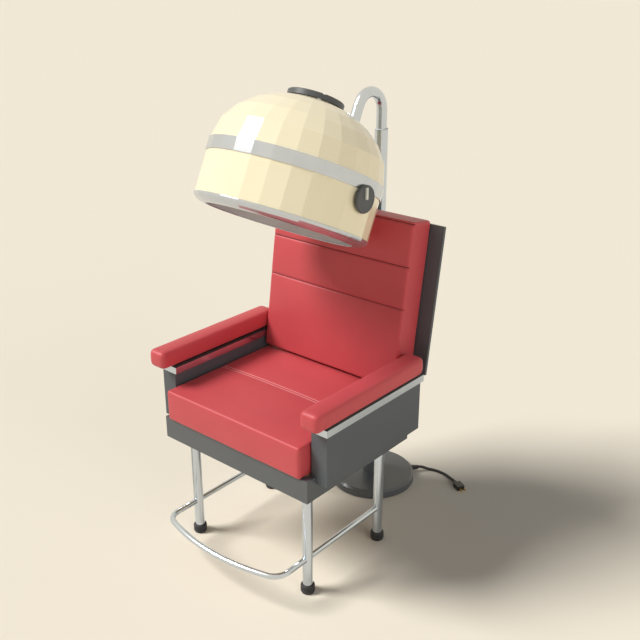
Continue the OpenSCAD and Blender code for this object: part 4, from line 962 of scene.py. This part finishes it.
def pulled(made, line, depth, width, twin=0.0, seed=0.0):
    """Draws a sewn line in, across the face: a narrow groove and small puckers beside it."""
    spots = points_of(made)
    facing = ramp(normals_of(made)[:, 2], 0.2, 0.7)
    off = np.abs(np.abs(spots[:, 1] - line) - twin / 2)
    whole = np.abs(spots[:, 1] - line)
    groove = depth * np.exp(-(off / width) ** 2)
    dip = 0.2 * depth * np.exp(-(whole / (5 * width)) ** 2)
    pucker = 0.1 * depth * ripple(spots[:, 0], spots[:, 1] * 0.25, seed, 0.016) * np.exp(
        -(whole / (4 * width)) ** 2)
    spots[:, 2] -= facing * (groove + dip + pucker)
    set_points(made, spots)


def creased(made, height, seed):
    """Faint slack of the cover over its faces, in long soft waves."""
    spots = points_of(made)
    ways = normals_of(made)
    wave = ripple(spots[:, 0] + 0.3 * spots[:, 1], spots[:, 1], seed, 0.09)
    set_points(made, spots + ways * (height * wave)[:, None])


def kept_between(made, low, high):
    set_points(made, np.clip(points_of(made), low, high))


def line_on(made, start, end, lift=0.0, step=0.0015):
    """Points on the face of a piece, between two places, found by looking down on it."""
    work = bmesh.new()
    work.from_mesh(made.data)
    tree = BVHTree.FromBMesh(work)
    work.free()
    start, end = Vector(start), Vector(end)
    count = max(2, round((end - start).length / step))
    spots = []
    for k in range(count + 1):
        at = start.lerp(end, k / count)
        hit = tree.ray_cast(at, Vector((0, 0, -1)))[0]
        if hit is not None:
            spots.append(hit + Vector((0, 0, lift)))
    return spots


print("covers ready")

# %% [markdown]
# ## Stitches
# A sewn line is one short bar of thread after another. A rule sets them along a path at an
# even pitch, each turned to the path, so the same rule serves every seam.

# %% A rule for stitches
stitches, given, result = new_tree("Stitches along a path", [
    ("Pitch", "Float", 0.004), ("Stitch", "Float", 0.0032), ("Thread", "Float", 0.0004),
    ("Finish", "Material", None),
])
path = node(stitches, "GeometryNodeMeshToCurve", {"Mesh": given["Geometry"]})
even = node(stitches, "GeometryNodeResampleCurve", {
    "Curve": path.outputs[0], "Length": given["Pitch"]}, mode="LENGTH")
bar = node(stitches, "GeometryNodeMeshCylinder", {
    "Vertices": 8, "Side Segments": 3, "Radius": given["Thread"], "Depth": given["Stitch"]})
bar_spot = node(stitches, "ShaderNodeSeparateXYZ", {
    0: node(stitches, "GeometryNodeInputPosition").outputs[0]}).outputs
bar_share = maths(stitches, "DIVIDE", bar_spot["Z"], given["Stitch"])
bar_waist = maths(stitches, "SUBTRACT", 1, maths(
    stitches, "MULTIPLY", maths(stitches, "MULTIPLY", bar_share, bar_share), 2.4))
plump = node(stitches, "GeometryNodeSetPosition", {
    "Geometry": bar.outputs["Mesh"],
    "Position": node(stitches, "ShaderNodeCombineXYZ", {
        "X": maths(stitches, "MULTIPLY", bar_spot["X"], bar_waist),
        "Y": maths(stitches, "MULTIPLY", bar_spot["Y"], bar_waist), "Z": bar_spot["Z"],
    }).outputs[0],
})
along = node(stitches, "FunctionNodeAlignEulerToVector", {
    "Vector": node(stitches, "GeometryNodeInputTangent").outputs[0]}, axis="Z")
sewn = node(stitches, "GeometryNodeInstanceOnPoints", {
    "Points": even.outputs[0], "Instance": plump.outputs[0], "Rotation": along.outputs[0]})
threads = node(stitches, "GeometryNodeRealizeInstances", {0: sewn.outputs[0]})
coloured = node(stitches, "GeometryNodeSetMaterial", {
    "Geometry": threads.outputs[0], "Material": given["Finish"]})
stitches.links.new(coloured.outputs[0], result[0])


def stitched(name, lines, thread, place, pitch=0.004, stitch=0.0032, radius=0.0004):
    """Sews along several lines of points, and takes the thread to its place."""
    verts, edges = [], []
    for line in lines:
        edges += [(len(verts) + k, len(verts) + k + 1) for k in range(len(line) - 1)]
        verts += line
    made = run_tree(mesh_object(name, verts, [], edges), stitches, {
        "Pitch": pitch, "Stitch": stitch, "Thread": radius, "Finish": thread})
    outward(made)
    made.data.transform(place)
    return smooth(made, 60)


print("rule:", stitches.name)

# %% Sew the seat
SEAT_LOW = (-0.245, -0.340, 0.3921)
SEAT_HIGH = (0.245, 0.0942, 0.4828)
SEAT_CROWN = 0.0055
SEAT_SEAM_Y = -0.1259
SEAT_TWIN = 0.009
SEAT_STITCH = {"pitch": 0.0036, "stitch": 0.0034, "radius": 0.0008}
EVEN = Matrix.Identity(4)
seat = stuffed("seat_upholstery", SEAT_LOW, SEAT_HIGH, (SEAT_SEAM_Y,), SEAT_CROWN, most=0.002)
creased(seat, 0.0005, 5.0)
pulled(seat, SEAT_SEAM_Y, 0.0014, 0.0024, SEAT_TWIN, seed=3.0)
kept_between(seat, (-0.2465, -0.3422, 0.3921), (0.2465, 0.0947, 0.4889))
seat_lines = [
    line_on(seat, (-0.236, SEAT_SEAM_Y + side * SEAT_TWIN / 2, 0.6),
            (0.236, SEAT_SEAM_Y + side * SEAT_TWIN / 2, 0.6), 0.0002)
    for side in (-1, 1)
]
place_on(seat, "chair", red_vinyl, "red_vinyl", "seat_cushion")
seat_thread = stitched("seat_stitches", seat_lines, seam_thread, EVEN, **SEAT_STITCH)
place_on(seat_thread, "chair", seam_thread, "red_vinyl")
print("seat points:", len(seat.data.vertices), "thread faces:", len(seat_thread.data.polygons))

# %% Sew the back
BACK_LOW = (-0.243, 0.0, 0.0007)
BACK_HIGH = (0.243, BACK_LENGTH, 0.0850)
BACK_CROWN = 0.0055
BACK_STITCH = {"pitch": 0.0030, "stitch": 0.0034, "radius": 0.001}
back = stuffed("back_upholstery", BACK_LOW, BACK_HIGH, BACK_CHANNELS, BACK_CROWN,
               math.tan(math.radians(BACK_LEAN)), 0.0025)
creased(back, 0.0005, 9.0)
for k, v in enumerate(BACK_CHANNELS):
    pulled(back, v, 0.003, 0.0022, seed=7.0 + k)
kept_between(back, (-0.2433, -0.001, 0.0007), (0.2433, BACK_LENGTH, 0.0918))
back_lines = [
    line_on(back, (-0.2405, v, 0.2), (0.2405, v, 0.2), 0.0003) for v in BACK_CHANNELS]
back.data.transform(back_frame)
place_on(back, "chair", red_vinyl, "red_vinyl", "back_cushion")
# The near-black channel thread doubles as painted shade along the grooves
back_thread = stitched(
    "back_channel_thread", back_lines, channel_thread, back_frame, **BACK_STITCH)
place_on(back_thread, "chair", channel_thread, "red_vinyl")
print("back points:", len(back.data.vertices), "thread faces:", len(back_thread.data.polygons))

# %% Cover the arm pads
PAD_FILL = 0.003
for side in ("left", "right"):
    low, high = (np.array(corner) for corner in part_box(f"arm_pad_{side}"))
    pad = stuffed(f"arm_upholstery_{side}", low, high + (0, 0, PAD_FILL), crown=0.001, most=0.001,
                  edge=0.014, net=0.004)
    creased(pad, 0.0003, 13.0)
    kept_between(pad, low - (0, 0.001, 0), high + (0, 0.001, PAD_FILL + 0.001))
    place_on(pad, "chair", red_vinyl, "red_vinyl", f"arm_pad_{side}")
print("pad points:", len(pad.data.vertices))

# %% [markdown]
# ## Screws and bolts
# Every fastener is one turned piece: a head with an eased edge and a hexagonal socket, and a
# shank whose end is threaded. A rule sets it at each place where the engineering model has one.

# %% A rule for fasteners
fasteners, given, result = new_tree("Fasteners at their places", [
    ("Piece", "Object", None), ("Way", "Vector", None), ("Finish", "Material", None),
])
piece_shape = node(fasteners, "GeometryNodeObjectInfo", {"Object": given["Piece"]})
turned_way = node(fasteners, "FunctionNodeAlignEulerToVector", {"Vector": given["Way"]}, axis="Z")
set_in = node(fasteners, "GeometryNodeInstanceOnPoints", {
    "Points": given["Geometry"], "Instance": piece_shape.outputs["Geometry"],
    "Rotation": turned_way.outputs[0]})
set_whole = node(fasteners, "GeometryNodeRealizeInstances", {0: set_in.outputs[0]})
set_finished = node(fasteners, "GeometryNodeSetMaterial", {
    "Geometry": set_whole.outputs[0], "Material": given["Finish"]})
fasteners.links.new(set_finished.outputs[0], result[0])
SOCKET_SHARE = 0.5
THREAD_PITCH = 0.001
THREAD_LENGTH = 0.012


def separate_solids(name):
    """The points of each separate solid of a CAD node."""
    work = bmesh.new()
    work.from_mesh(nodes[name].data)
    bmesh.ops.remove_doubles(work, verts=work.verts, dist=WELD)
    left, solids = set(work.verts), []
    while left:
        reached = [left.pop()]
        for vert in reached:
            for other in (edge.other_vert(vert) for edge in vert.link_edges):
                if other in left:
                    left.discard(other)
                    reached.append(other)
        solids.append(np.array([vert.co[:] for vert in reached]))
    work.free()
    return solids


def turned_bolt(name, head_r, head_h, shank_r, length):
    """A bolt whose head's outer face is at z = 0 and whose shank runs up from it."""
    deep, socket = 0.6 * head_h, SOCKET_SHARE * head_r
    ease = 0.12 * head_h
    start = length - min(THREAD_LENGTH, length - head_h - THREAD_PITCH)
    thread = []
    for k in range(int((length - start) / THREAD_PITCH)):
        low = start + k * THREAD_PITCH
        thread += [(shank_r, low), (shank_r * 0.86, low + THREAD_PITCH / 2)]
    outline = [
        (0, deep, 0), (socket, deep, 1), (socket, 0, 1), (head_r - ease, 0, 0), (head_r, ease, 0),
        (head_r, head_h, 0), (shank_r, head_h, 0), *((r, z, 0) for r, z in thread),
        (shank_r * 0.86, length, 0), (0, length, 0),
    ]
    sides, sixth = 24, math.tau / 6
    verts = []
    for k in range(sides):
        turn = math.tau * k / sides
        flat = math.cos(sixth / 2) / math.cos(turn % sixth - sixth / 2)
        verts += [(r * (flat if hexed else 1) * math.cos(turn),
                   r * (flat if hexed else 1) * math.sin(turn), z) for r, z, hexed in outline]
    rows = len(outline)
    made = mesh_object(name, verts, [
        (a * rows + j, (a + 1) % sides * rows + j, (a + 1) % sides * rows + j + 1, a * rows + j + 1)
        for a in range(sides) for j in range(rows - 1)])
    work = bmesh.new()
    work.from_mesh(made.data)
    bmesh.ops.remove_doubles(work, verts=work.verts, dist=WELD)
    bmesh.ops.recalc_face_normals(work, faces=work.faces)
    work.to_mesh(made.data)
    work.free()
    return made


def fasten(name, made_name, way):
    """Sets the turned bolt in the place of each solid of a CAD node; way is from head to end."""
    way = np.array(way, float) / np.linalg.norm(way)
    seats = []
    for spots in separate_solids(name):
        along = spots @ way
        middle = spots.mean(axis=0) - way * along.mean()
        out = np.linalg.norm(spots - middle - np.outer(along, way), axis=1)
        if out[along < along.min() + WELD].max() < out[along > along.max() - WELD].max():
            print(name, "is turned the other way")
        head = out > out.max() - WELD
        seats.append(middle + way * along.min())
        sizes = (out.max(), along[head].max() - along.min(),
                 out[along > along.max() - WELD].max(), along.max() - along.min())
    bolt = turned_bolt(name + "_piece", *(float(v) for v in sizes))
    made = run_tree(mesh_object(made_name, seats, []), fasteners, {
        "Piece": bolt, "Way": tuple(way), "Finish": finishes[slot_of[name]]})
    bpy.data.objects.remove(bolt)
    outward(made)
    smooth(made, 35)
    place_on(made, body_of[name], finishes[slot_of[name]], slot_of[name], name)
    return len(seats)


print("rule:", fasteners.name)

# %% Set the screws and bolts
UP, DOWN, FORWARD = (0, 0, 1), (0, 0, -1), (0, -1, 0)
BRACKET_OUT = (0, 0.9242, 0.3822)
bolt_count = sum((
    fasten("leg_screws", "leg_screw_set", UP), fasten("panel_bolts", "panel_bolt_set", UP),
    fasten("strip_screws", "strip_screw_set", DOWN),
    fasten("back_bolts", "back_bolt_set", FORWARD), fasten("tie_bolts", "tie_bolt_set", UP),
    fasten("bracket_bolts", "bracket_bolt_set", BRACKET_OUT),
))
print("fasteners:", bolt_count)
